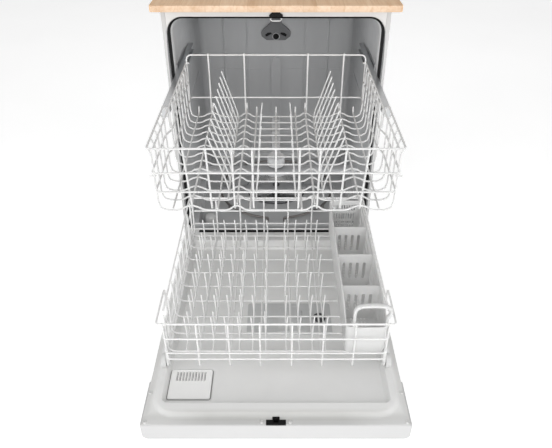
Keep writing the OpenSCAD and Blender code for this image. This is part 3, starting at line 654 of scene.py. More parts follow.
def refined(node, mat, bevel=0.4, seg=2, smooth=32.0, limit=30.0):
    """The CAD shape itself with its edges broken, as pressed and moulded parts have."""
    src = NODES[node].data
    me = bpy.data.meshes.new("look_" + node)
    me.from_pydata([v.co.copy() for v in src.vertices], [], [tuple(p.vertices) for p in src.polygons])
    bm = bmesh.new()
    bm.from_mesh(me)
    bmesh.ops.remove_doubles(bm, verts=bm.verts, dist=4e-6)
    bmesh.ops.dissolve_degenerate(bm, edges=bm.edges, dist=1e-6)
    bmesh.ops.recalc_face_normals(bm, faces=bm.faces)
    bmesh.ops.dissolve_limit(bm, angle_limit=math.radians(0.4), verts=bm.verts, edges=bm.edges)
    bm.to_mesh(me)
    bm.free()
    return finish_piece("look_" + node, me, mat, BODY_OF[node], smooth, bevel, seg, (node,), limit)


def plain(node, mat):
    """A CAD node that keeps its own mesh."""
    o = NODES[node]
    o.data.materials.clear()
    o.data.materials.append(mat)
    return o


def rr(x0, y0, x1, y1, ra, rb=None, n=8):
    """Outline of a rectangle with round corners: ra at the low side, rb at the high side."""
    rb = ra if rb is None else rb
    out = []
    for cx, cy, r, a0 in ((x1 - ra, y0 + ra, ra, -90), (x1 - rb, y1 - rb, rb, 0), (x0 + rb, y1 - rb, rb, 90), (x0 + ra, y0 + ra, ra, 180)):
        if r <= 0.01:
            out.append((cx, cy))
            continue
        for j in range(n + 1):
            a = math.radians(a0 + 90 * j / n)
            out.append((cx + r * math.cos(a), cy + r * math.sin(a)))
    return out


def sd_rr(x, y, x0, y0, x1, y1, ra, rb):
    """Signed distance to such a rectangle, negative inside."""
    cx, cy = (x0 + x1) / 2, (y0 + y1) / 2
    r = np.where(y < cy, ra, rb)
    qx, qy = np.abs(x - cx) - (x1 - x0) / 2 + r, np.abs(y - cy) - (y1 - y0) / 2 + r
    return np.hypot(np.maximum(qx, 0), np.maximum(qy, 0)) + np.minimum(np.maximum(qx, qy), 0) - r


def sd_box(x, y, x0, y0, x1, y1):
    return sd_rr(x, y, x0, y0, x1, y1, 1.5, 1.5)


# ------------------------------------------------------------------ worktop
def build_worktop():
    x, y0, y1 = 311.0, -102.0, 581.0
    prof = [(1.6, 902.0), (0.5, 902.35), (0.0, 903.4), (0.0, 916.4), (0.35, 917.4), (1.2, 917.9), (2.2, 918.0)]
    g = Geo()
    rings = []
    for inset, z in prof:
        o = rr(-x + inset, y0 + inset, x - inset, y1 - inset, 8 - inset, 8 - inset, 10)
        rings.append([(a, b, z) for a, b in o])
    g.loft(rings)
    g.make("worktop_slab", M_WOOD, "root", smooth=40, replaces=("worktop",), slot="worktop_wood")


# ------------------------------------------------------------------ cabinet
def build_cabinet():
    for n in ("side_panel_left", "side_panel_right"):
        refined(n, M_FRAME, 0.7, 3)
    refined("top_rails", M_WHITE, 0.7, 3)
    # rear panel with pressed stiffening fields
    xs = np.unique(np.concatenate([np.arange(-286.7, 286.8, 7.0), [-286.7, 286.7, -250, -130]]))
    zs = np.unique(np.concatenate([np.arange(66, 901.7, 7.0), [66, 901.6, 150]]))
    X, Z = np.meshgrid(xs, zs, indexing="ij")
    dep = np.zeros_like(X)
    for k in range(3):
        z0 = 190 + k * 236
        d = sd_rr(X, Z, -236, z0, 236, z0 + 196, 26, 26)
        dep += 0.9 * sm(-d / 9.0) - 0.9 * sm(-(d + 22) / 9.0)
    yo = 558.0 - dep
    outer = np.stack([X, yo, Z], -1)
    inner = np.stack([X, yo - 1.0, Z], -1)
    mask = np.ones((len(xs) - 1, len(zs) - 1), bool)
    cx, cz = (xs[:-1] + xs[1:]) / 2, (zs[:-1] + zs[1:]) / 2
    mask[np.ix_((cx > -250) & (cx < -130), cz < 150)] = False
    Geo().shell(outer, inner, mask).make("rear_sheet", M_ZINC, "root", smooth=50, replaces=("rear_panel",), slot="white_enamel")
    g = Geo()
    for xx in (-278, 278):
        for zz in (90, 290, 490, 690, 880):
            screw_head(g, (xx, 558.2, zz), "y", 4.2, 1.6)
    g.make("rear_screws", M_BRIGHT, "root", smooth=30, slot="zinc_steel")
    refined("service_panel", M_SOOT, 0.6)
    refined("toe_panel", M_WHITE, 0.5)
    refined("base_frame", M_ZINC, 0.3)
    refined("counterweight", M_IRON, 4.0, 3)


def screw_head(g, c, axis, r, h):
    """Pan head with a cross recess."""
    n = 20
    rings = [(r, 0.0), (r, h * 0.35), (r * 0.93, h * 0.7), (r * 0.72, h)]
    verts = []

    def at(u, w, k):
        x, y, z = c
        return {"z": (x + u, y + w, z + k), "y": (x + u, y + k, z + w), "x": (x + k, y + u, z + w)}[axis]

    circ = lambda q: [(q * math.cos(2 * math.pi * i / n), q * math.sin(2 * math.pi * i / n)) for i in range(n)]
    g.loft([[at(u, w, k) for u, w in circ(q)] for q, k in rings[:-1]] + [[at(u, w, rings[-1][1]) for u, w in circ(rings[-1][0])]], True, False)
    a, b = r * 0.52, r * 0.15
    cross = [(b, -a), (b, -b), (a, -b), (a, b), (b, b), (b, a), (-b, a), (-b, b), (-a, b), (-a, -b), (-b, -b), (-b, -a)]
    top = circ(rings[-1][0])
    tris = tessellate_polygon([[Vector((u, w, 0)) for u, w in top], [Vector((u, w, 0)) for u, w in cross]])
    flat = top + cross
    g.put([at(u, w, h) for u, w in flat], [tuple(t) for t in tris])
    m = len(cross)
    g.put([at(u, w, h) for u, w in cross] + [at(u * 0.8, w * 0.8, h * 0.3) for u, w in cross],
          [(i, (i + 1) % m, m + (i + 1) % m, m + i) for i in range(m)] + [tuple(range(m, 2 * m))])


# ------------------------------------------------------------------ tub
def build_tub():
    hw, fl, top = 277.0, 160.0, 861.0

    def outline(g, f=0.0, n=9):
        """The tub's inside at inset g, with its sides and top flared by f."""
        return rr(-hw + g - f, fl + g, hw - g + f, top - g + 0.75 * f, max(8 - g * 0.2, 3), max(38 - g, 8) + 0.85 * f, n)

    g = Geo()
    R = 25.0
    flare = {0.35: 4.4, 1.6: 3.1, 4.5: 2.0, 10.0: 1.0, 20.0: 0.3}
    inner = [(0.0, y) for y in (0.35, 1.6, 4.5, 10.0, 20.0, 32.0, 120.0, 260.0, 400.0, 540 - R)]
    inner += [(R * (1 - math.cos(a)), 540 - R + R * math.sin(a)) for a in np.linspace(0, math.pi / 2, 8)[1:]]
    outer = [(-3.0, 543.0), (-3.0, 3.2)]
    rings = [[(x, y, z) for x, z in outline(i, flare.get(y, 0.0))] for i, y in inner]
    g.loft(rings, False, False)
    g.loft([[(x, y, z) for x, z in outline(i)] for i, y in outer], True, False)
    # back wall with narrow channels pressed into it
    dents = []
    for x, w in ((-195.3, 1.3), (195.3, 1.3), (-105, 0.8), (105, 0.8)):
        dents.append(rr(x - w, 196, x + w, 828, w * 0.9, w * 0.9, 3))
    loops = [outline(R)] + dents
    flat = [q for l in loops for q in l]
    tris = [t for t in tessellate_polygon([[Vector((a, b, 0)) for a, b in l] for l in loops])
            if abs((flat[t[1]][0] - flat[t[0]][0]) * (flat[t[2]][1] - flat[t[0]][1]) - (flat[t[2]][0] - flat[t[0]][0]) * (flat[t[1]][1] - flat[t[0]][1])) > 1e-9]
    g.put([(a, 540.0, b) for a, b in flat], [tuple(t) for t in tris])
    for d in dents:
        k = len(d)
        g.put([(a, 540.0, b) for a, b in d] + [(a, 542.3, b) for a, b in d], [(i, (i + 1) % k, k + (i + 1) % k, k + i) for i in range(k)] + [tuple(range(k, 2 * k))])
    # front plate with the mouth cut out of it
    g.prism(rr(-299, 156, 299, 895, 6, 6), 0.3, 3.3, "y", holes=[rr(-281.4, 197, 281.4, 864.3, 3, 41.7, 9)])
    # wheel ledges, moulded as one step along each side, ramped at the mouth
    for s in (-1, 1):
        prof = [(2, 199), (24, 205), (532, 205), (532, 160.5), (2, 160.5)]
        q = [(y, z) for y, z in prof]
        g.prism(q, *(sorted((s * 257.0, s * 276.9))), "x")
    g.make("tub_shell", M_TUB, "root", smooth=38, replaces=("tub",), slot="tub_plastic", merge=True)
    # ribs and fields of the back wall, side wall beads
    g = Geo()
    for x in (-190.2, 190.2):
        g.tube([(x, 540.6, 186), (x, 540.6, 838)], 3.4, 10)
    for x, w in ((-101.5, 1.8), (101.5, 1.8), (-109, 1.8), (109, 1.8)):
        g.tube([(x, 540.9, 200), (x, 540.9, 832)], w, 8)
    g.tube([(-236, 540.6, 533), (236, 540.6, 533)], 1.5, 8)
    for s in (-1, 1):
        g.tube(fillet([(s * 277.4, 60, 560), (s * 277.4, 440, 560)], 4), 2.2, 8)
    g.make("tub_beads", M_TUB, "root", smooth=60, slot="tub_plastic")
    # gasket: a lip seal with a ridge, swept round the mouth
    # the outer and the inner edge of the seal, station by station: wide at the sides, thin along the top
    edges = [((290.4, z), (281.6, z)) for z in np.linspace(178.2, 822.0, 12)]
    edges += [((248.5 + 41.9 * math.cos(a), 823 + 41.9 * math.sin(a)), (246.5 + 35.1 * math.cos(a), 826.5 + 35.1 * math.sin(a))) for a in np.linspace(0, math.pi / 2, 18)]
    half_edges = list(edges)
    edges += [((x, 864.9), (x, 861.6)) for x in np.linspace(240, -240, 13)]
    edges += [((-o[0], o[1]), (-i[0], i[1])) for o, i in half_edges[::-1]]
    prof = [(0.0, -0.1), (0.0, -2.6), (0.10, -4.2), (0.30, -4.9), (0.50, -3.3), (0.70, -4.7), (0.90, -4.3), (1.0, -2.4), (1.0, -0.1)]
    rings = [[(i[0] + (o[0] - i[0]) * s, b, i[1] + (o[1] - i[1]) * s) for s, b in prof] for o, i in edges]
    Geo().loft(rings).make("mouth_gasket", M_RUBBER, "root", smooth=50, replaces=("tub_gasket",), slot="rubber")
    # a dark strip beside the seal, laid over the frame's lip and widest low down: painted shade, standing also for the
    # edge of the tub's flange that shows there
    g = Geo()
    g.prism([(290.9, 178), (295.2, 178), (295.2, 752), (293.6, 800), (290.9, 830)], -2.75, -2.1, "y")
    g.mirrored()
    g.make("flange_shade_strip", M_FLANGE_SHADE, "root", bevel=0.25, slot="tub_plastic")
    # strike: a pocketed plate on the rail, and the bail that hangs under the ceiling
    g = Geo()
    plate = [(-18, 865.6), (18, 865.6), (18, 870.5), (10, 877), (-10, 877), (-18, 870.5)]
    g.prism(plate, -4.8, -3.7, "y", holes=[rr(-8, 868, 8, 873.4, 1.6, 1.6, 3)])
    g.prism([(x * 0.985, 865.7 + (z - 865.6) * 0.985) for x, z in plate], -3.75, -2.1, "y")
    g.make("strike_plate", M_DARK, "root", smooth=30, bevel=0.35, replaces=("latch_strike",), slot="dark_plastic")
    g = Geo()
    g.tube(fillet([(-14.7, 5.5, 860.8), (-14.2, 5.5, 855.6), (-10.5, 5.5, 852.7), (10.5, 5.5, 852.7), (14.2, 5.5, 855.6), (14.7, 5.5, 860.8)], [0, 2, 2, 2, 2, 0], 3), 1.5, 10)
    for s in (-1, 1):
        g.loft([[(x, y, z) for x, y in rr(s * 14.4 - 2.5 + i, 4.0 + i * 0.4, s * 14.4 + 2.5 - i, 7.0 - i * 0.4, 1, 1, 3)] for i, z in ((0.3, 858.2), (0, 858.8), (0, 860.8))])
    g.make("strike_bail", M_LIGHT, "root", smooth=45, slot="light_plastic")
    # upper nozzle: fan-shaped moulding with two slanted mouths and a round centre jet
    g = Geo()
    fan = [(-34, 643.4), (-52, 657), (-54, 669), (-47, 680), (-21, 701), (-18, 741.8), (18, 741.8), (21, 701), (47, 680), (54, 669), (52, 657), (34, 643.4)]
    fan = [tuple(q) for q in fillet(fan, [4, 5, 5, 6, 9, 2, 2, 9, 6, 5, 5, 4], 4, closed=True)]
    mouth_r = [tuple(q) for q in fillet([(15, 665), (36, 655), (40, 662), (30, 670), (17, 671)], 1.6, 2, closed=True)]
    mouth_l = [(-x, z) for x, z in mouth_r]
    jet = circle(0, 656, 11.0, 28)
    g.prism(fan, 527.7, 531.6, "y", holes=[mouth_r, mouth_l, jet])
    g.prism([(x * 0.99, 692 + (z - 692) * 0.992) for x, z in fan], 531.5, 539.8, "y")
    g.make("nozzle_body", M_NOZZLE, "root", smooth=30, bevel=0.7, seg=2, replaces=("top_nozzle",), slot="dark_plastic")
    g = Geo()
    for hole in (mouth_r, mouth_l, jet):
        cxm, czm = sum(q[0] for q in hole) / len(hole), sum(q[1] for q in hole) / len(hole)
        g.prism([(cxm + (x - cxm) * 0.97, czm + (z - czm) * 0.97) for x, z in hole], 530.4, 531.45, "y")
    for k in range(4):
        g.tube([(-7.5 + 5 * k, 530.2, 650), (-7.5 + 5 * k, 530.2, 662)], 0.8, 6)
    g.make("nozzle_mouths", M_DARK, "root", smooth=30, bevel=0.2, slot="dark_plastic")
    g = Geo()
    g.tube([(12.2 * math.cos(a), 528.5, 656 + 12.2 * math.sin(a)) for a in np.linspace(0, 2 * math.pi, 33)[:-1]], 1.3, 8, closed=True)
    g.make("nozzle_ring", M_TUB, "root", smooth=50, slot="tub_plastic")
    refined("feed_tube", M_TUB, 1.4, 3)
    refined("sump", M_SOOT, 0.4)
    # perforated steel strainer
    g = Geo()
    holes = [circle(0, 250, 17.4, 28), circle(0, 336, 33.4, 36)]
    for i in range(-12, 13):
        for j in range(-12, 13):
            x, y = i * 8.4 + (4.2 if j % 2 else 0), 290 + j * 7.3
            if math.hypot(x, y - 290) < 101 and math.hypot(x, y - 250) > 23 and math.hypot(x, y - 336) > 39:
                holes.append(circle(x, y, 2.0, 6))
    g.prism(circle(0, 290, 108, 64), 162.5, 164.2, "z", holes=holes)
    g.tube([(107 * math.cos(a), 290 + 107 * math.sin(a), 163.3) for a in np.linspace(0, 2 * math.pi, 65)[:-1]], 1.0, 6, closed=True)
    g.make("strainer_plate", M_BRIGHT, "root", smooth=30, replaces=("coarse_filter",), slot="zinc_steel")
    # fine filter: mesh cylinder in a ribbed cage with a grip bar
    g = Geo()
    g.lathe([(31, 170), (31, 166.4), (28.8, 165.6), (28.6, 128), (31, 127), (31, 124), (0, 124), (0, 127), (26.4, 127.6), (26.6, 164), (24, 170)], (0, 336, 0), "z", 40)
    for k in range(12):
        a = 2 * math.pi * k / 12
        g.tube([(30 * math.cos(a), 336 + 30 * math.sin(a), 126), (30 * math.cos(a), 336 + 30 * math.sin(a), 167)], 0.9, 6)
    g.loft([[(x, y, z) for x, y in rr(-24 + i, 332 + i * 0.5, 24 - i, 340 - i * 0.5, 3.0, 3.0, 4)] for i, z in ((0, 168), (0, 175.5), (0.8, 177.2), (2.0, 178))])
    g.lathe([(0, 167), (25, 167), (25, 169.6), (0, 170)], (0, 336, 0), "z", 36)
    g.make("fine_filter", M_LIGHT, "filter_cylinder", smooth=35, replaces=("filter_cylinder",), slot="light_plastic")
    # heater: bent tube with clips
    g = Geo()
    g.tube([(205 * math.cos(a), 275 + 205 * math.sin(a), 174) for a in np.linspace(math.radians(-82), math.radians(262), 90)], 3.9, 12)
    for a in (215, 325, 60, 120):
        q = math.radians(a)
        x, y = 205 * math.cos(q), 275 + 205 * math.sin(q)
        g.tube([(x, y, 160.3), (x, y, 169), (x, y, 171)], 2.6, 8)
        g.ball((x, y, 172.5), 5.2)
    for s in (-1, 1):
        x = 205 * math.cos(math.radians(-82)) * (-s if s < 0 else s)
        q = math.radians(-82 if s > 0 else 262)
        g.tube([(205 * math.cos(q), 275 + 205 * math.sin(q), 174), (205 * math.cos(q), 275 + 205 * math.sin(q), 161)], [3.9, 3.9], 10)
    g.make("heater_loop_tube", M_HEAT, "root", smooth=50, replaces=("heater_element",), slot="zinc_steel")
    # float: a domed cap over its stem
    g = Geo()
    g.lathe([(0, 190), (7, 189.6), (13, 187.8), (17.4, 184.2), (19.4, 179), (20, 170), (20, 162), (19.2, 160.6), (17.6, 160.6), (17.2, 178), (5.4, 180), (4.8, 178), (4.8, 143), (0, 142)], (-225, 70, 0), "z", 36)
    g.make("overfill_float", M_LIGHT, "float", smooth=40, replaces=("float",), slot="light_plastic")
    # pumps and valve
    g = Geo()
    y = 290
    g.lathe([(0, -236 + 1), (30, -235), (36, -232), (38, -226), (38, -136), (36, -131), (30, -130), (30, -116), (0, -115)], (0, y, 112), "x", 40)
    for k in range(11):
        x = -222 + k * 8
        g.lathe([(37.2, x), (38, x + 0.4), (38, x + 3.2), (37.2, x + 3.6)], (0, y, 112), "x", 32)
    g.lathe([(0, -119), (8, -119), (8, -95.4), (6.6, -95.4), (6.4, -117), (0, -117)], (0, y, 135), "x", 20)
    g.prism(rr(-225, 265, -140, 315, 5), 68.3, 82, "z")
    g.prism([(265, 82), (275, 95), (305, 95), (315, 82)], -225, -140, "x")
    g.make("wash_pump_body", M_SOOT, "root", smooth=30, bevel=0.0, replaces=("wash_pump",), slot="dark_plastic")
    g = Geo()
    g.lathe([(0, 200), (20, 199.5), (25, 197), (26, 192), (26, 140), (24, 133), (18, 131), (0, 130)], (0, y, 104), "x", 36)
    for k in range(6):
        x = 146 + k * 8
        g.lathe([(25.2, x), (26, x + 0.4), (26, x + 3.0), (25.2, x + 3.4)], (0, y, 104), "x", 28)
    g.lathe([(0, 133), (4.5, 133), (4.5, 95.4), (3.4, 95.4), (3.3, 131), (0, 131)], (0, y, 125), "x", 16)
    g.prism(rr(140, 272, 190, 308, 4), 68.3, 86, "z")
    g.make("drain_pump_body", M_SOOT, "root", smooth=30, replaces=("drain_pump",), slot="dark_plastic")
    refined("inlet_valve", M_SOOT, 1.5, 3)


def circle(x, y, r, n):
    return [(x + r * math.cos(2 * math.pi * i / n), y + r * math.sin(2 * math.pi * i / n)) for i in range(n)]


# ------------------------------------------------------------------ spray arms
def build_arm(name, node, body, centre, z0, z1, length, slotname):
    """A hollow moulded arm: swept blade, domed back, a row of jets and a hub with a nut."""
    cx, cy = centre
    g = Geo()
    h = z1 - z0
    for s in (-1, 1):
        rings = []
        for t in np.linspace(0, 1, 22):
            x = t * (length + 17) * s
            w = 30 * (1 - sm(t * 2.4)) + 17.5 * sm(t * 2.4) - 3.0 * t
            if t > 0.88:
                w *= math.sqrt(max(0.02, 1 - ((t - 0.88) / 0.12) ** 2 * 0.98))
            bend = 5.0 * s * math.sin(t * math.pi) * 0.8
            hh = h * (1 - 0.28 * t)
            ring = []
            for a in np.linspace(0, 2 * math.pi, 19)[:-1]:
                ca, sa = math.cos(a), math.sin(a)
                yy = math.copysign(abs(ca) ** 0.7, ca) * w
                zz = math.copysign(abs(sa) ** (0.8 if sa > 0 else 0.45), sa)
                ring.append((cx + x, cy + yy + bend, z0 + hh / 2 * (1 + zz)))
            rings.append(ring)
        g.loft(rings)
        for k in range(6):
            t = 0.3 + k * 0.125
            g.lathe([(2.2, 0), (4.2, 0), (3.6, 1.5), (2.4, 1.5)], (cx + s * t * length, cy + (6 if k % 2 else -6) + 3 * s, z0 + h * (1 - 0.28 * t) - 0.6), "z", 12)
    g.lathe([(8.3 if node == "lower_spray_arm" else 6.3, 0.4), (32, 0.2), (32, h * 0.62), (29, h * 0.86), (22, h), (8.3 if node == "lower_spray_arm" else 6.3, h)], (cx, cy, z0), "z", 40)
    for k in range(8):
        a = 2 * math.pi * k / 8
        g.tube([(cx + 13 * math.cos(a), cy + 13 * math.sin(a), z1 - 0.3), (cx + 27 * math.cos(a), cy + 27 * math.sin(a), z1 - 2.2)], 0.9, 6)
    g.make(name, M_ARM, body, smooth=42, replaces=(node,), slot=slotname)


# ------------------------------------------------------------------ rails and rollers
def build_rails():
    refined("upper_rails", M_RAIL, 0.3)
    refined("roller_brackets", M_ZINC, 0.4)
    for node, xs, y in (("tub_rollers", (268.8, 274.4), 30), ("rack_rollers_front", (260.0, 265.0), -235), ("rack_rollers_rear", (260.0, 265.0), -30)):
        g = Geo()
        a, b = xs
        m = (a + b) / 2
        g.lathe([(3.1, a), (8.2, a), (8.75, a + 0.7), (8.75, b - 0.7), (8.2, b), (7.0, b), (6.6, b - 0.9), (4.4, b - 0.9), (4.2, b), (3.1, b)], (0, y, 711), "x", 28)
        g.mirrored()
        g.make("look_" + node, M_LIGHT, BODY_OF[node], smooth=35, replaces=(node,), slot="light_plastic")


# ------------------------------------------------------------------ door
def liner_height(X, Y):
    """Height of the liner's upper skin: flat flange, soft raised rim, sunk pan in two levels with a drawn wall."""
    d_rim = sd_rr(X, Y, -287, -749.5, 287, -70, 62, 20)
    z = 197.0 + 8.0 * sm(-d_rim / 13.0)
    d1 = sd_rr(X, Y, -262, -712.8, 262, -98, 14, 13)
    wall = sm(-d1 / 8.0)
    step = sm((Y + 544.0) / 8.0)
    floor = 185.4 + (172.2 - 185.4) * step
    z = z * (1 - wall) + floor * wall
    crown = 0.5 * np.cos(np.clip(X / 262, -1, 1) * math.pi / 2) * wall
    z = z + crown * (1 - sm((-sd_rr(X, Y, -80, -476, 152, -354, 8, 8) + 14) / 14)) * (1 - sm((-sd_rr(X, Y, -254, -690, -153.5, -604, 9, 9) + 14) / 14))
    # moat round the drying vent
    dv = sd_rr(X, Y, -255.2, -691.2, -152.3, -602.8, 6.5, 6.5)
    z = z - 2.6 * np.exp(-(dv / 1.25) ** 2) * wall
    return z


def build_door():
    fine = lambda a, b, s: np.arange(a, b, s)
    xs = np.unique(np.round(np.concatenate([
        fine(-296.5, 296.5, 5.0), [296.5], fine(-258.5, -250.5, 0.8), fine(-156, -149, 0.8), fine(-292, -272, 2.0), fine(-266, -250, 2.0), fine(272, 292, 2.0), fine(248, 266, 2.0),
        [-22.2, 22.2, -8.4, 8.4, -246, -162, -72.3, 144.3]]), 2))
    ys = np.unique(np.round(np.concatenate([
        fine(-765.5, -21, 5.0), [-21], fine(-738, -698, 1.8), fine(-694.5, -688.5, 0.8), fine(-606, -600, 0.8), fine(-548, -530, 1.6), fine(-112, -66, 2.2),
        [-753.1, -745.4, -642, -606, -468.3, -361.7]]), 2))
    X, Y = np.meshgrid(xs, ys, indexing="ij")
    Z = liner_height(X, Y)
    outer = np.stack([X, Y, Z], -1)
    inner = np.stack([X, Y, Z - 2.6], -1)
    cx, cy = (xs[:-1] + xs[1:]) / 2, (ys[:-1] + ys[1:]) / 2
    CX, CY = np.meshgrid(cx, cy, indexing="ij")
    mask = np.ones(CX.shape, bool)
    mask[(np.abs(CX) < 22.2) & (CY < -753.1)] = False
    mask[(np.abs(CX) < 8.4) & (CY < -745.4)] = False
    mask[(CX > -246) & (CX < -162) & (CY > -642) & (CY < -606)] = False
    mask[(CX > -72.3) & (CX < 144.3) & (CY > -468.3) & (CY < -361.7)] = False
    Geo().shell(outer, inner, mask).make("door_inner_liner", M_LINER, "door", smooth=55, replaces=("door_liner",), slot="liner_plastic", recalc=False)
    # drying vent: plate with louvred slots and a rolled edge
    g = Geo()
    slots = [rr(-240 + 7.4 * k, -637, -236.2 + 7.4 * k, -610, 1.2, 1.2, 3) for k in range(10)]
    g.prism(rr(-253.6, -689.6, -153.9, -604.4, 5, 5, 6), 185.6, 187.0, "z", holes=slots)
    g.loft([[(x, y, z) for x, y in rr(-253.6 + i, -689.6 + i, -153.9 - i, -604.4 - i, 5, 5, 6)] for i, z in ((0, 185.6), (0, 187.0), (0.7, 187.7), (1.8, 187.7), (2.6, 187.0), (3.0, 185.7))], False, False)
    for k in range(10):
        x = -240 + 7.4 * k
        g.prism([(x - 1.5, 182.2), (x + 1.6, 186.2), (x + 2.5, 186.2), (x - 0.5, 182.2)], -637, -610, "y")
    g.make("vent_grille", M_VENT, "door", smooth=35, replaces=("vent_cover",), slot="liner_plastic")
    g = Geo()
    g.prism(rr(-248, -644, -160, -604, 4, 4), 178.2, 181.6, "z")
    g.make("vent_flap", M_DARK, "door", bevel=0.5, slot="dark_plastic")
    # a thin grey ring in the moat round the drying vent: painted shade for the dark outline there
    g = Geo()
    g.tube([(x, y, 184.8) for x, y in rr(-254.8, -690.8, -152.7, -603.2, 5.8, 5.8, 6)], 0.66, 6, closed=True)
    g.make("vent_moat_shade_ring", M_VENT_MOAT_SHADE, "door", smooth=60, slot="rubber")
    # screws
    g = Geo()
    for x, y in ((290, -759), (31.5, -759), (291.8, -680), (291.8, -400), (291.8, -120)):
        for s in (-1, 1):
            screw_head(g, (s * x, y, 197.3), "z", 4.6, 2.2)
            g.lathe([(0, 181), (1.2, 182), (1.9, 184), (1.9, 197.4), (0, 197.4)], (s * x, y, 0), "z", 12)
    g.make("liner_screw_set", M_SCREW, "door", smooth=30, replaces=("liner_screws",), slot="zinc_steel")
    refined("door_panel", M_WHITE, 0.45)
    refined("console", M_CONSOLE, 1.1, 3)
    refined("latch_housing", M_DARK, 0.5)
    refined("latch_pawl", M_DARK, 0.25)
    refined("hinge_arms", M_ZINC, 0.35)
    refined("hinge_brackets", M_ZINC, 0.35)
    refined("dispenser", M_DISP, 0.9, 3)
    refined("control_board", M_BOARD, 0.15)
    refined("start_button", M_BUTTON, 1.2, 3)
    refined("cycle_button", M_BUTTON, 1.2, 3)
    # detergent lid with a moulded frame and a thumb rib
    g = Geo()
    g.loft([[(x, y, z) for x, y in rr(-4 + i, -466 + i, 84 - i, -364 - i, 6, 6, 5)] for i, z in ((0.3, 175.5), (0, 176.0), (0, 176.9), (0.5, 177.3))])
    g.prism(rr(-3.3, -465.3, 83.3, -364.7, 5.5, 5.5, 5), 176.9, 178.1, "z", holes=[rr(6, -457, 61, -373, 5, 5, 5)])
    for k in range(5):
        g.tube([(14 + 10 * k, -449, 177.2), (14 + 10 * k, -381, 177.2)], 0.7, 6)
    g.loft([[(x, y, z) for x, y in rr(66 + i, -440 + i, 72 - i, -390 - i, 2.4, 2.4, 4)] for i, z in ((-0.6, 177.6), (0, 178.8), (0.4, 180.4), (1.2, 181.0))])
    g.make("detergent_lid", M_DISP, "dispenser_lid", smooth=35, replaces=("dispenser_lid",), slot="liner_plastic")
    g = Geo()
    g.lathe([(0, 166.2), (9.4, 166.2), (10, 167), (10, 175.4), (16.4, 175.5), (17, 176.4), (17, 178.6), (16.2, 179.8), (14.0, 179.9), (12.8, 178.4), (6, 178.0), (0, 177.9)], (118, -415, 0), "z", 40)
    for k in range(24):
        a = 2 * math.pi * k / 24
        g.tube([(118 + 16.7 * math.cos(a), -415 + 16.7 * math.sin(a), 176.4), (118 + 16.7 * math.cos(a), -415 + 16.7 * math.sin(a), 179.0)], 0.5, 5)
    g.loft([[(x, y, z) for x, y in rr(104 + i, -417.4 + i * 0.4, 132 - i, -412.6 - i * 0.4, 2.0, 2.0, 4)] for i, z in ((0, 179), (0.2, 183.4), (1.0, 184.6), (2.2, 185.0))])
    g.make("rinse_aid_cap", M_SOOT, "rinse_cap", smooth=35, replaces=("rinse_cap",), slot="dark_plastic")
    # lip seal at the bottom of the door
    prof = [(-45, 197.3), (-45, 198.6), (-42, 199.3), (-39.6, 198.3), (-37.2, 199.3), (-34, 198.8), (-33, 197.3)]
    g = Geo()
    g.loft([[(x, y, z) for y, z in prof] for x in np.linspace(-250, 250, 26)])
    g.make("door_lip_seal", M_RUBBER, "door", smooth=50, replaces=("door_seal",), slot="rubber")
    # counterbalance springs: wound coil, hooks and cable
    g = Geo()
    turns, n = 46, 46 * 12
    y0, y1 = 64.0, 246.0
    g.tube([(292 + 5.6 * math.cos(2 * math.pi * turns * i / n), y0 + (y1 - y0) * i / n, 104.2 + 5.6 * math.sin(2 * math.pi * turns * i / n)) for i in range(n + 1)], 1.25, 6)
    g.tube(fillet([(292, 64, 109.6), (292, 58, 109.6), (292, 56, 104), (290.4, 50, 103.9), (290.2, 2, 103.9), (290.2, -8, 104.6), (290.2, -15, 110), (290.2, -16.2, 116), (290.2, -16.2, 184)], 6, 4), 0.85, 6)
    g.tube(fillet([(292, 246, 109.6), (292, 252, 109.6), (292, 255, 104.2), (292, 300, 104.2)], 4, 4), 1.3, 6)
    g.mirrored()
    o = g.make("counterbalance_springs", M_BRIGHT, "root", smooth=60, replaces=("door_springs",), slot="zinc_steel")


# ------------------------------------------------------------------ casters
def build_casters():
    for n, x, y in (("fl", -245, 60), ("fr", 245, 60), ("rl", -245, 505), ("rr", 245, 505)):
        refined("caster_fork_" + n, M_ZINC, 0.4)
        g = Geo()
        c = (x, y + 22, 25)
        g.lathe([(4.1, -9), (7.5, -9), (8.2, -6.6), (14.6, -5.6), (16, -7.6), (18.2, -8.6), (22.4, -8.4), (24.3, -7.0), (25, -4.2), (25, 4.2), (24.3, 7.0), (22.4, 8.4), (18.2, 8.6), (16, 7.6), (14.6, 5.6), (8.2, 6.6), (7.5, 9), (4.1, 9)], c, "x", 44)
        g.make("look_caster_wheel_" + n, M_TYRE, "caster_wheel_" + n, smooth=35, replaces=("caster_wheel_" + n,), slot="caster_rubber")


# ------------------------------------------------------------------ lower rack
R1 = 2.25


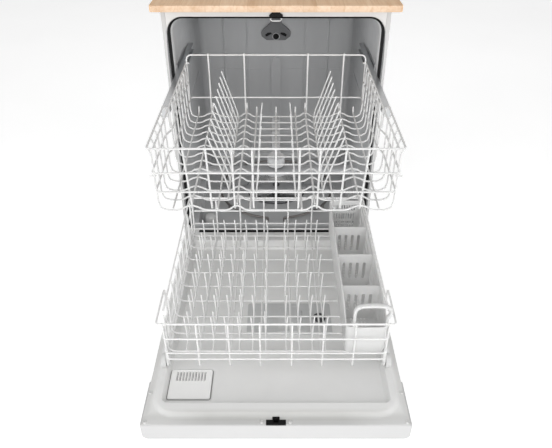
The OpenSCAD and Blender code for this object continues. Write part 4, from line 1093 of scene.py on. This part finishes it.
def build_lower_rack():
    g = Geo()
    yf, yb = -645.0, -130.0
    us = [-250.6, -177, -106.5, -36, 36, 106.5, 177, 250.6]
    # rim with its wings at the front corners
    rim = [(-254, -569, 333), (-263.4, -526, 383.4), (-263.4, yf + 0.6, 383.4), (263.4, yf + 0.6, 383.4), (263.4, -526, 383.4), (254, -569, 333)]
    g.tube(fillet(rim, [0, 6, 9, 9, 6, 0], 6), 2.5, 10)
    # the rest of the rim round the back
    g.tube(fillet([(-254, -600, 382.2), (-254, yb, 382.8), (254, yb, 382.8), (254, -600, 382.2)], 16, 6), 2.5, 10)
    # level rails, closed round all four sides
    for z in (272.4, 292, 337.4):
        w = 254.0 if z > 275 else 252.8
        loop = [(-w, yf + 0.3, z), (w, yf + 0.3, z), (w, yb, z), (-w, yb, z)]
        g.tube(fillet(loop, 13, 5, closed=True), R1, 8, closed=True)
    # long wires: down the front, along the floor, up the back
    for i, u in enumerate(us):
        uu = max(-247.5, min(247.5, u))
        pts = [(u, yf + 3.6, 383.4), (uu, yf + 3.4, 262), (uu, yf + 14, 258.6), (uu, -560, 264.6), (uu, yb - 12, 264.6), (uu, yb - 3.6, 276), (uu, yb - 3.6, 382)]
        g.tube(fillet(pts, [0, 5, 8, 20, 9, 8, 0], 4), R1, 8)
        # the turned-under end
        g.tube(fillet([(u, yf + 3.6, 300), (u, yf + 2.8, 249.6), (u, yf + 7, 245.8), (u, yf + 16, 249.4)], 4, 4), R1, 8)
    # cross wires: from side rail to side rail, dipping under the plates
    for j in range(9):
        y = yf + 30 + j * 57.0
        pts = [(-250.6, y, 381.6), (-250.6, y, 276), (-240, y, 266.6), (240, y, 266.6), (250.6, y, 276), (250.6, y, 381.6)]
        g.tube(fillet(pts, 9, 4), R1, 8)
    for j in range(4):
        y = yf + 58 + j * 128.0
        g.tube([(-250.6, y, 336), (-250.6, y, 300), (-250.6, y, 269)], R1, 8)
        g.tube([(250.6, y, 336), (250.6, y, 300), (250.6, y, 269)], R1, 8)
    # tine rows
    cols = [-210 + 31 * i for i in range(7)] + [24 + 31 * i for i in range(4)]
    for c, x in enumerate(cols):
        g.tube([(x, -612, 268.6), (x, -168, 268.6)], 1.9, 8)
        for j in range(6):
            y = -588 + 80 * j
            h = 345 - 3.8 * (j % 2)
            lean = -3.0 if x < 0 else 3.0
            g.tube(fillet([(x, y - 12, 268.8), (x, y, 268.8), (x, y, 284), (x + lean * 0.25, y + 1.5, 312), (x + lean, y + 3.5, h)], [0, 4, 4, 30, 0], 4), 1.85, 8)
            if j < 5 and x < 0 and c % 2 == 0:
                g.tube(fillet([(x, y + 26, 268.8), (x, y + 40, 268.8), (x, y + 40, 286), (x + lean, y + 42, 326)], [0, 4, 4, 0], 4), 1.85, 8)
    # the lower rack's wires use the lighter copy of the vinyl: painted light
    g.make("lower_rack_wires", M_VINYL_LIT_COPY, "lower_rack", smooth=60, replaces=("lower_rack",), slot="rack_coating")
    # wheel carriers clipped on the side wires
    g = Geo()
    for y in (-604, -180):
        out = [(y - 11, 269), (y - 13, 262), (y - 11.5, 232), (y - 9.5, 218), (y - 5, 212.4), (y + 5, 212.4), (y + 9.5, 218), (y + 11.5, 232), (y + 13, 262), (y + 11, 269)]
        g.prism(out, 252.6, 256.2, "x", holes=[rr(y - 5, 244, y + 5, 260, 2, 2, 3)])
        g.prism([(y - 13, 262), (y - 13, 292), (y + 13, 292), (y + 13, 262)], 255.0, 256.6, "x", holes=[rr(y - 8, 270, y + 8, 284, 2, 2, 3)])
        g.lathe([(0, 254), (8, 254), (8, 261.2), (4.6, 261.7), (4.0, 262), (4.0, 275.2), (5.6, 275.2), (5.8, 275.9), (0, 276)], (0, y, 222.8), "x", 24)
    g.mirrored()
    g.make("wheel_carriers", M_BASKET, "lower_rack", smooth=35, bevel=0.35, slot="rack_coating")
    for node, y in (("lower_wheels_front", -604), ("lower_wheels_rear", -180)):
        g = Geo()
        prof = [(4.2, 262.2), (6.6, 262.2), (7.0, 264.6), (13.2, 265.0), (14.0, 262.4), (16.6, 262.3), (17.4, 263.4), (17.4, 272.4), (16.6, 273.6), (14.0, 273.5), (13.2, 270.6), (7.0, 271.0), (6.6, 273.6), (4.2, 273.6)]
        g.lathe(prof, (0, y, 222.8), "x", 40)
        for k in range(6):
            a = 2 * math.pi * k / 6
            g.tube([(269.6, y + 7 * math.cos(a), 222.8 + 7 * math.sin(a)), (269.6, y + 13.4 * math.cos(a), 222.8 + 13.4 * math.sin(a))], 1.5, 6)
        g.mirrored()
        g.make("look_" + node, M_LIGHT, BODY_OF[node], smooth=35, replaces=(node,), slot="light_plastic")


def build_basket():
    """Moulded silverware basket: rolled bottom edges, slotted walls, four cells, arched strap handle."""
    x0, x1, y0, y1 = 155.0, 249.6, -633.6, -148.4
    R = 20.0
    step = 3.9
    base = []

    def per(i):
        """Perimeter at inset i with an even spacing that doesn't change with the inset."""
        pts = []
        c = 9.0
        for (ax, ay), (bx, by) in (((x0 + c, y0), (x1 - c, y0)), ((x1, y0 + c), (x1, y1 - c)), ((x1 - c, y1), (x0 + c, y1)), ((x0, y1 - c), (x0, y0 + c))):
            n = max(2, round(math.hypot(bx - ax, by - ay) / step))
            side = [(ax + (bx - ax) * k / n, ay + (by - ay) * k / n) for k in range(n + 1)]
            pts.append(side)
        out, kind = [], []
        centres = ((x1 - c, y0 + c), (x1 - c, y1 - c), (x0 + c, y1 - c), (x0 + c, y0 + c))
        for k, side in enumerate(pts):
            for q in side[:-1]:
                out.append(q)
                kind.append("sides"[0] + str(k))
            out.append(side[-1])
            kind.append("c")
            ccx, ccy = centres[k]
            a0 = (-90, 0, 90, 180)[k]
            for j in range(1, 4):
                a = math.radians(a0 + 90 * j / 4)
                out.append((ccx + c * math.cos(a), ccy + c * math.sin(a)))
                kind.append("c")
        mx, my = (x0 + x1) / 2, (y0 + y1) / 2
        res = []
        for px, py in out:
            dx, dy = px - mx, py - my
            sx, sy = (x1 - x0) / 2, (y1 - y0) / 2
            res.append((mx + dx * (sx - i) / sx, my + dy * (sy - i) / sy))
        return res, kind

    levels = [(R * (1 - math.cos(a)), 267.0 + R * (1 - math.sin(a))) for a in np.linspace(math.pi / 2, 0, 6)]
    levels = [(R * (1 - math.cos(b)), 267.0 + R * (1 - math.sin(b))) for b in np.linspace(math.pi / 2, 0, 6)]
    zs_wall = [292, 297, 302, 308, 314, 318, 323, 329, 335, 340, 345, 350, 355, 360]
    p0, kind = per(0)
    nu = len(p0)
    nv = len(levels) + len(zs_wall)
    outer, inner = np.zeros((nu, nv, 3)), np.zeros((nu, nv, 3))

    def top_at(px, py):
        f = sm(np.clip((py - y0) / 90.0, 0, 1))
        sag = 3.0 * (1 - ((px - (x0 + x1) / 2) / ((x1 - x0) / 2)) ** 2) * (1 - f)
        return 363.0 + 21.0 * f - sag

    for v in range(nv):
        if v < len(levels):
            i, z = levels[v]
        else:
            i, z = 0.0, zs_wall[v - len(levels)]
        po, _ = per(i)
        pi, _ = per(i + 2.0)
        for u in range(nu):
            zz = z
            if z > 288:
                zz = 287 + (z - 287) * (top_at(*p0[u]) - 287) / (360.0 - 287)
            taper = (1 - (zz - 267) / 120.0) * 3.2
            ox, oy = po[u]
            ix, iy = pi[u]
            mx = (x0 + x1) / 2
            ox -= math.copysign(taper, ox - mx) if abs(ox - mx) > 4 else 0
            ix -= math.copysign(taper, ix - mx) if abs(ix - mx) > 4 else 0
            outer[u, v] = (ox, oy, zz)
            inner[u, v] = (ix, iy, zz + (1.8 if v == 0 else 1.4 if v == 1 else 0.8 if v == 2 else 0.0))
    mask = np.ones((nu, nv - 1), bool)
    rows_open = [r for r in range(nv - 1) if r >= len(levels) and (r - len(levels)) in (0, 1, 2, 4, 5, 6, 8, 9, 10)]
    run = 0
    for u in range(nu):
        if kind[u] in ("s1", "s3") and kind[(u + 1) % nu] != "c" and kind[u - 1] != "c":
            run += 1
            if run % 2 == 0:
                for r in rows_open:
                    mask[u, r] = False
        elif kind[u] == "s2" and kind[(u + 1) % nu] != "c" and kind[u - 1] != "c" and u % 2 == 0:
            for r in rows_open:
                mask[u, r] = False
    g = Geo()
    g.shell(outer, inner, mask, closed_u=True)
    # rolled rim along the top edge
    rimline = [tuple((outer[u, -1] + inner[u, -1]) / 2) for u in range(nu)]
    g.tube(rimline, 2.0, 8, closed=True)
    # perforated floor
    fx, fy = np.arange(x0 + R - 2, x1 - R + 2.1, 4.1), np.arange(y0 + R - 1.5, y1 - R + 1.6, 4.02)
    X, Y = np.meshgrid(fx, fy, indexing="ij")
    up, dn = np.stack([X, Y, np.full_like(X, 269.4)], -1), np.stack([X, Y, np.full_like(X, 267.2)], -1)
    fm = np.ones((len(fx) - 1, len(fy) - 1), bool)
    for a in range(len(fx) - 1):
        for b in range(len(fy) - 1):
            if a % 2 == 1 and b % 3 != 0 and 0 < a < len(fx) - 2 and 0 < b < len(fy) - 3:
                fm[a, b] = False
    g.shell(up, dn, fm)
    # cell walls
    for k in range(1, 4):
        y = -631 + k * 120.75 - 1.6
        out = [(x0 + 6, 272), (x0 + 4, 290), (x0 + 1.4, 378), (x1 - 1.4, 378), (x1 - 4, 290), (x1 - 6, 272)]
        out = fillet([(a, b) for a, b in out], 2, 2, closed=True)
        holes = [rr(x0 + 17 + 17.5 * c, 300, x0 + 25 + 17.5 * c, 352, 3, 3, 3) for c in range(4)]
        g.prism([tuple(q) for q in out], y - 1.0, y + 1.0, "y", holes=holes)
    g.make("basket_body", M_BASKET, "silverware_basket", smooth=40, replaces=("silverware_basket",), slot="basket_plastic")
    # strap handle: a wide band, arched over the front cell
    g = Geo()
    line = [(173.4, -628, 362), (173.4, -628, 404), (176.0, -628, 414.5), (186, -628, 421.4), (214, -628, 423.4), (240, -628, 421.6), (250.4, -628, 415), (252.6, -628, 406), (252.2, -628, 398), (246.6, -628, 389), (245.4, -628, 362)]
    line = fillet(line, [0, 10, 8, 12, 40, 10, 8, 8, 6, 6, 0], 5)
    rings = []
    pts = np.array(line)
    d = np.gradient(pts, axis=0)
    d /= np.linalg.norm(d, axis=1)[:, None]
    for p, t in zip(pts, d):
        n = np.array([-t[2], 0, t[0]])
        ring = []
        for a in np.linspace(0, 2 * math.pi, 15)[:-1]:
            ca, sa = math.cos(a), math.sin(a)
            ring.append(tuple(p + n * math.copysign(abs(ca) ** 0.6, ca) * 3.7 + np.array([0, 1, 0]) * math.copysign(abs(sa) ** 0.6, sa) * 5.6))
        rings.append(ring)
    g.loft(rings)
    g.make("basket_handle", M_BASKET, "silverware_basket", smooth=50, slot="basket_plastic")


# ------------------------------------------------------------------ upper rack
def build_upper_rack():
    g = Geo()
    yf, yb = -506.0, 10.0
    # rim: raised at the front, out over the wings, then down and in to the sides
    rim = [(-251, -300, 690), (-252.5, -298, 712), (-256, -294, 728), (-263.5, -290, 739.6), (-263.5, yf, 739.6)]
    rim += [(-x, y, z) for x, y, z in rim[::-1]]
    g.tube(fillet(rim, [0, 8, 8, 7, 9, 9, 7, 8, 8, 0], 6), 2.4, 10)
    for s in (-1, 1):
        g.tube(fillet([(s * 250.2, -498, 737.6), (s * 250.2, yb - 0.2, 737.6), (s * 243, yb - 0.2, 737.6)], 8, 4), R1, 8)
    # middle and lower rails: wider over the front part, drawn in beside the slide rails
    def band(wide, narrow, z, back):
        pts = [(-narrow, yb, z), (-narrow, -296, z), (-wide, -330, z), (-wide, yf, z), (wide, yf, z), (wide, -330, z), (narrow, -296, z), (narrow, yb, z)]
        if back:
            g.tube(fillet(pts, [10, 14, 14, 10, 10, 14, 14, 10], 5, closed=True), R1, 8, closed=True)
        else:
            g.tube(fillet(pts, [0, 14, 14, 10, 10, 14, 14, 0], 5), R1, 8)

    band(258.6, 248.0, 683, False)
    band(255.6, 245.6, 637, True)
    # small nubs: wire ends that stand out past the front corners
    for s in (-1, 1):
        g.tube([(s * 252, yf + 4.4, 674.6), (s * 263.4, yf + 4.4, 674.0)], R1, 8)
    # back rail, set high, on its own posts that end in nubs
    g.tube(fillet([(-248, yb + 0.2, 640), (-248, yb, 760.2), (248, yb, 760.2), (248, yb + 0.2, 640)], 14, 5), R1, 8)
    for u in (-187, -88, 88, 187):
        g.tube(fillet([(u, yb - 3.8, 764.4), (u, yb - 3.8, 604), (u, yb - 12, 592)], [0, 8, 0], 4), R1, 8)
    # front uprights, their ends turned under the floor
    for u in (-191, -144, -91, -49, 0, 49, 91, 144, 191):
        k = 1 - 0.012 * abs(u) / 50
        g.tube(fillet([(u, yf + 3.6, 739), (u * k, yf + 3.8, 606), (u * k, yf + 6, 592), (u * k, yf + 18, 589.4)], [0, 3, 5, 0], 3), R1, 8)

    # wavy floor wires: flat troughs for the glasses, low humps between them
    half = [(0, 588.4), (58, 588.4), (68, 590.5), (76, 597), (84, 600.6), (93, 597), (101, 590.5), (109, 588.4), (146, 588.4), (157, 590), (168, 596), (182, 601), (196, 597), (206, 591), (216, 588.6)]
    n = 13
    for j in range(n):
        y = yf + 4.2 + j * 40.6
        wing = y < -306
        if wing:
            side = [(236, y, 588.8), (249.6, y, 594.5), (253.8, y, 610), (255.0, y, 683), (255.0, y, 723.8), (260.8, y, 738.8)]
        else:
            side = [(231, y, 588.8), (242.0, y, 595), (245.4, y, 610), (247.6, y, 683), (249.8, y, 736.6)]
        right = [(x, y, z) for x, z in half] + side
        pts = [(-a, b, c) for a, b, c in right[::-1]] + right[1:]
        g.tube(fillet(pts, 7, 3), R1 * 0.95, 8)
    # long floor wires tie the waves
    for x, z in ((0, 591.6), (-56, 591.6), (56, 591.6), (-127, 591.6), (127, 591.6), (-182, 604.4), (182, 604.4), (-84, 604), (84, 604), (-224, 592), (224, 592)):
        g.tube(fillet([(x, yf + 5, z + 1), (x, yf + 14, z), (x, yb - 6, z), (x, yb - 2.5, z + 16)], 7, 3), R1, 8)
    # leaning tine rows
    for s in (-1, 1):
        g.tube([(s * 107, -462, 592), (s * 107, -18, 592)], 1.9, 8)
        for j in range(10):
            y = -428 + 44 * j
            g.tube(fillet([(s * 107, y - 12, 592.4), (s * 107, y, 592.4), (s * 111, y, 614), (s * 130, y + 3, 670), (s * 149, y + 4, 727)], [0, 4, 10, 60, 0], 4), 1.85, 8)
        g.tube([(s * 44, -462, 592), (s * 44, -40, 592)], 1.9, 8)
        for j in range(6):
            y = -440 + 74 * j
            g.tube(fillet([(s * 44, y - 12, 592.4), (s * 44, y, 592.4), (s * 43, y, 608), (s * 38, y + 2, 652)], [0, 4, 8, 0], 4), 1.85, 8)
    # roller carriers on the side wires
    g.make("upper_rack_wires", M_VINYL, "upper_rack", smooth=60, replaces=("upper_rack",), slot="rack_coating")
    g = Geo()
    out = [tuple(q) for q in rr(-250, 697, -15, 725, 9, 9, 6)]
    holes = [rr(-212 + 48 * k, 704, -180 + 48 * k, 718, 4, 4, 4) for k in range(3)]
    g.prism(out, 248.4, 252.2, "x", holes=holes)
    for y in (-235, -30):
        g.lathe([(0, 250), (5.5, 250), (5.5, 259.2), (3.0, 259.8), (3.0, 265.2), (2.4, 265.6), (0, 265.6)], (0, y, 711), "x", 20)
    g.mirrored()
    g.make("roller_carriers", M_BASKET, "upper_rack", smooth=35, bevel=0.5, slot="rack_coating")
    # feed tube under the floor, with its hub
    g = Geo()
    g.lathe([(0, -250), (7, -249), (10.4, -246), (11, -240), (11, 8.9), (8.6, 8.9), (8.4, -214), (0, -216)], (0, 0, 570), "y", 28)
    g.lathe([(0, 536), (11.4, 536), (12, 537), (12, 539.4), (6, 540), (6, 560), (20.6, 560.2), (22, 562), (22, 582.5), (20.4, 585), (0, 585.4)], (0, -247, 0), "z", 32)
    for y in (-200, -120, -40):
        g.lathe([(11, y - 3), (12.2, y - 2.2), (12.2, y + 2.2), (11, y + 3)], (0, 0, 570), "y", 28)
        g.tube(fillet([(-9, y, 576), (-9, y, 588), (9, y, 588), (9, y, 576)], 4, 3), 1.5, 6)
    g.make("upper_water_tube", M_TUB, "upper_rack", smooth=38, replaces=("upper_feed_tube",), slot="tub_plastic")


build_worktop()
build_cabinet()
build_tub()
build_arm("lower_wash_arm", "lower_spray_arm", "lower_spray_arm", (0, 250), 184.2, 197.8, 195, "arm_plastic")
build_arm("upper_wash_arm", "upper_spray_arm", "upper_spray_arm", (0, -247), 541.2, 554.8, 195, "arm_plastic")
build_rails()
build_door()
build_casters()
build_lower_rack()
build_basket()
build_upper_rack()

# ------------------------------------------------------------------ floor
fm = bpy.data.meshes.new("studio_floor")
fm.from_pydata([(-14, -14, 0), (14, -14, 0), (14, 14, 0), (-14, 14, 0)], [], [(0, 1, 2, 3)])
fm.materials.append(floor_mat("pale_floor"))
floor = bpy.data.objects.new("studio_floor", fm)
scene.collection.objects.link(floor)
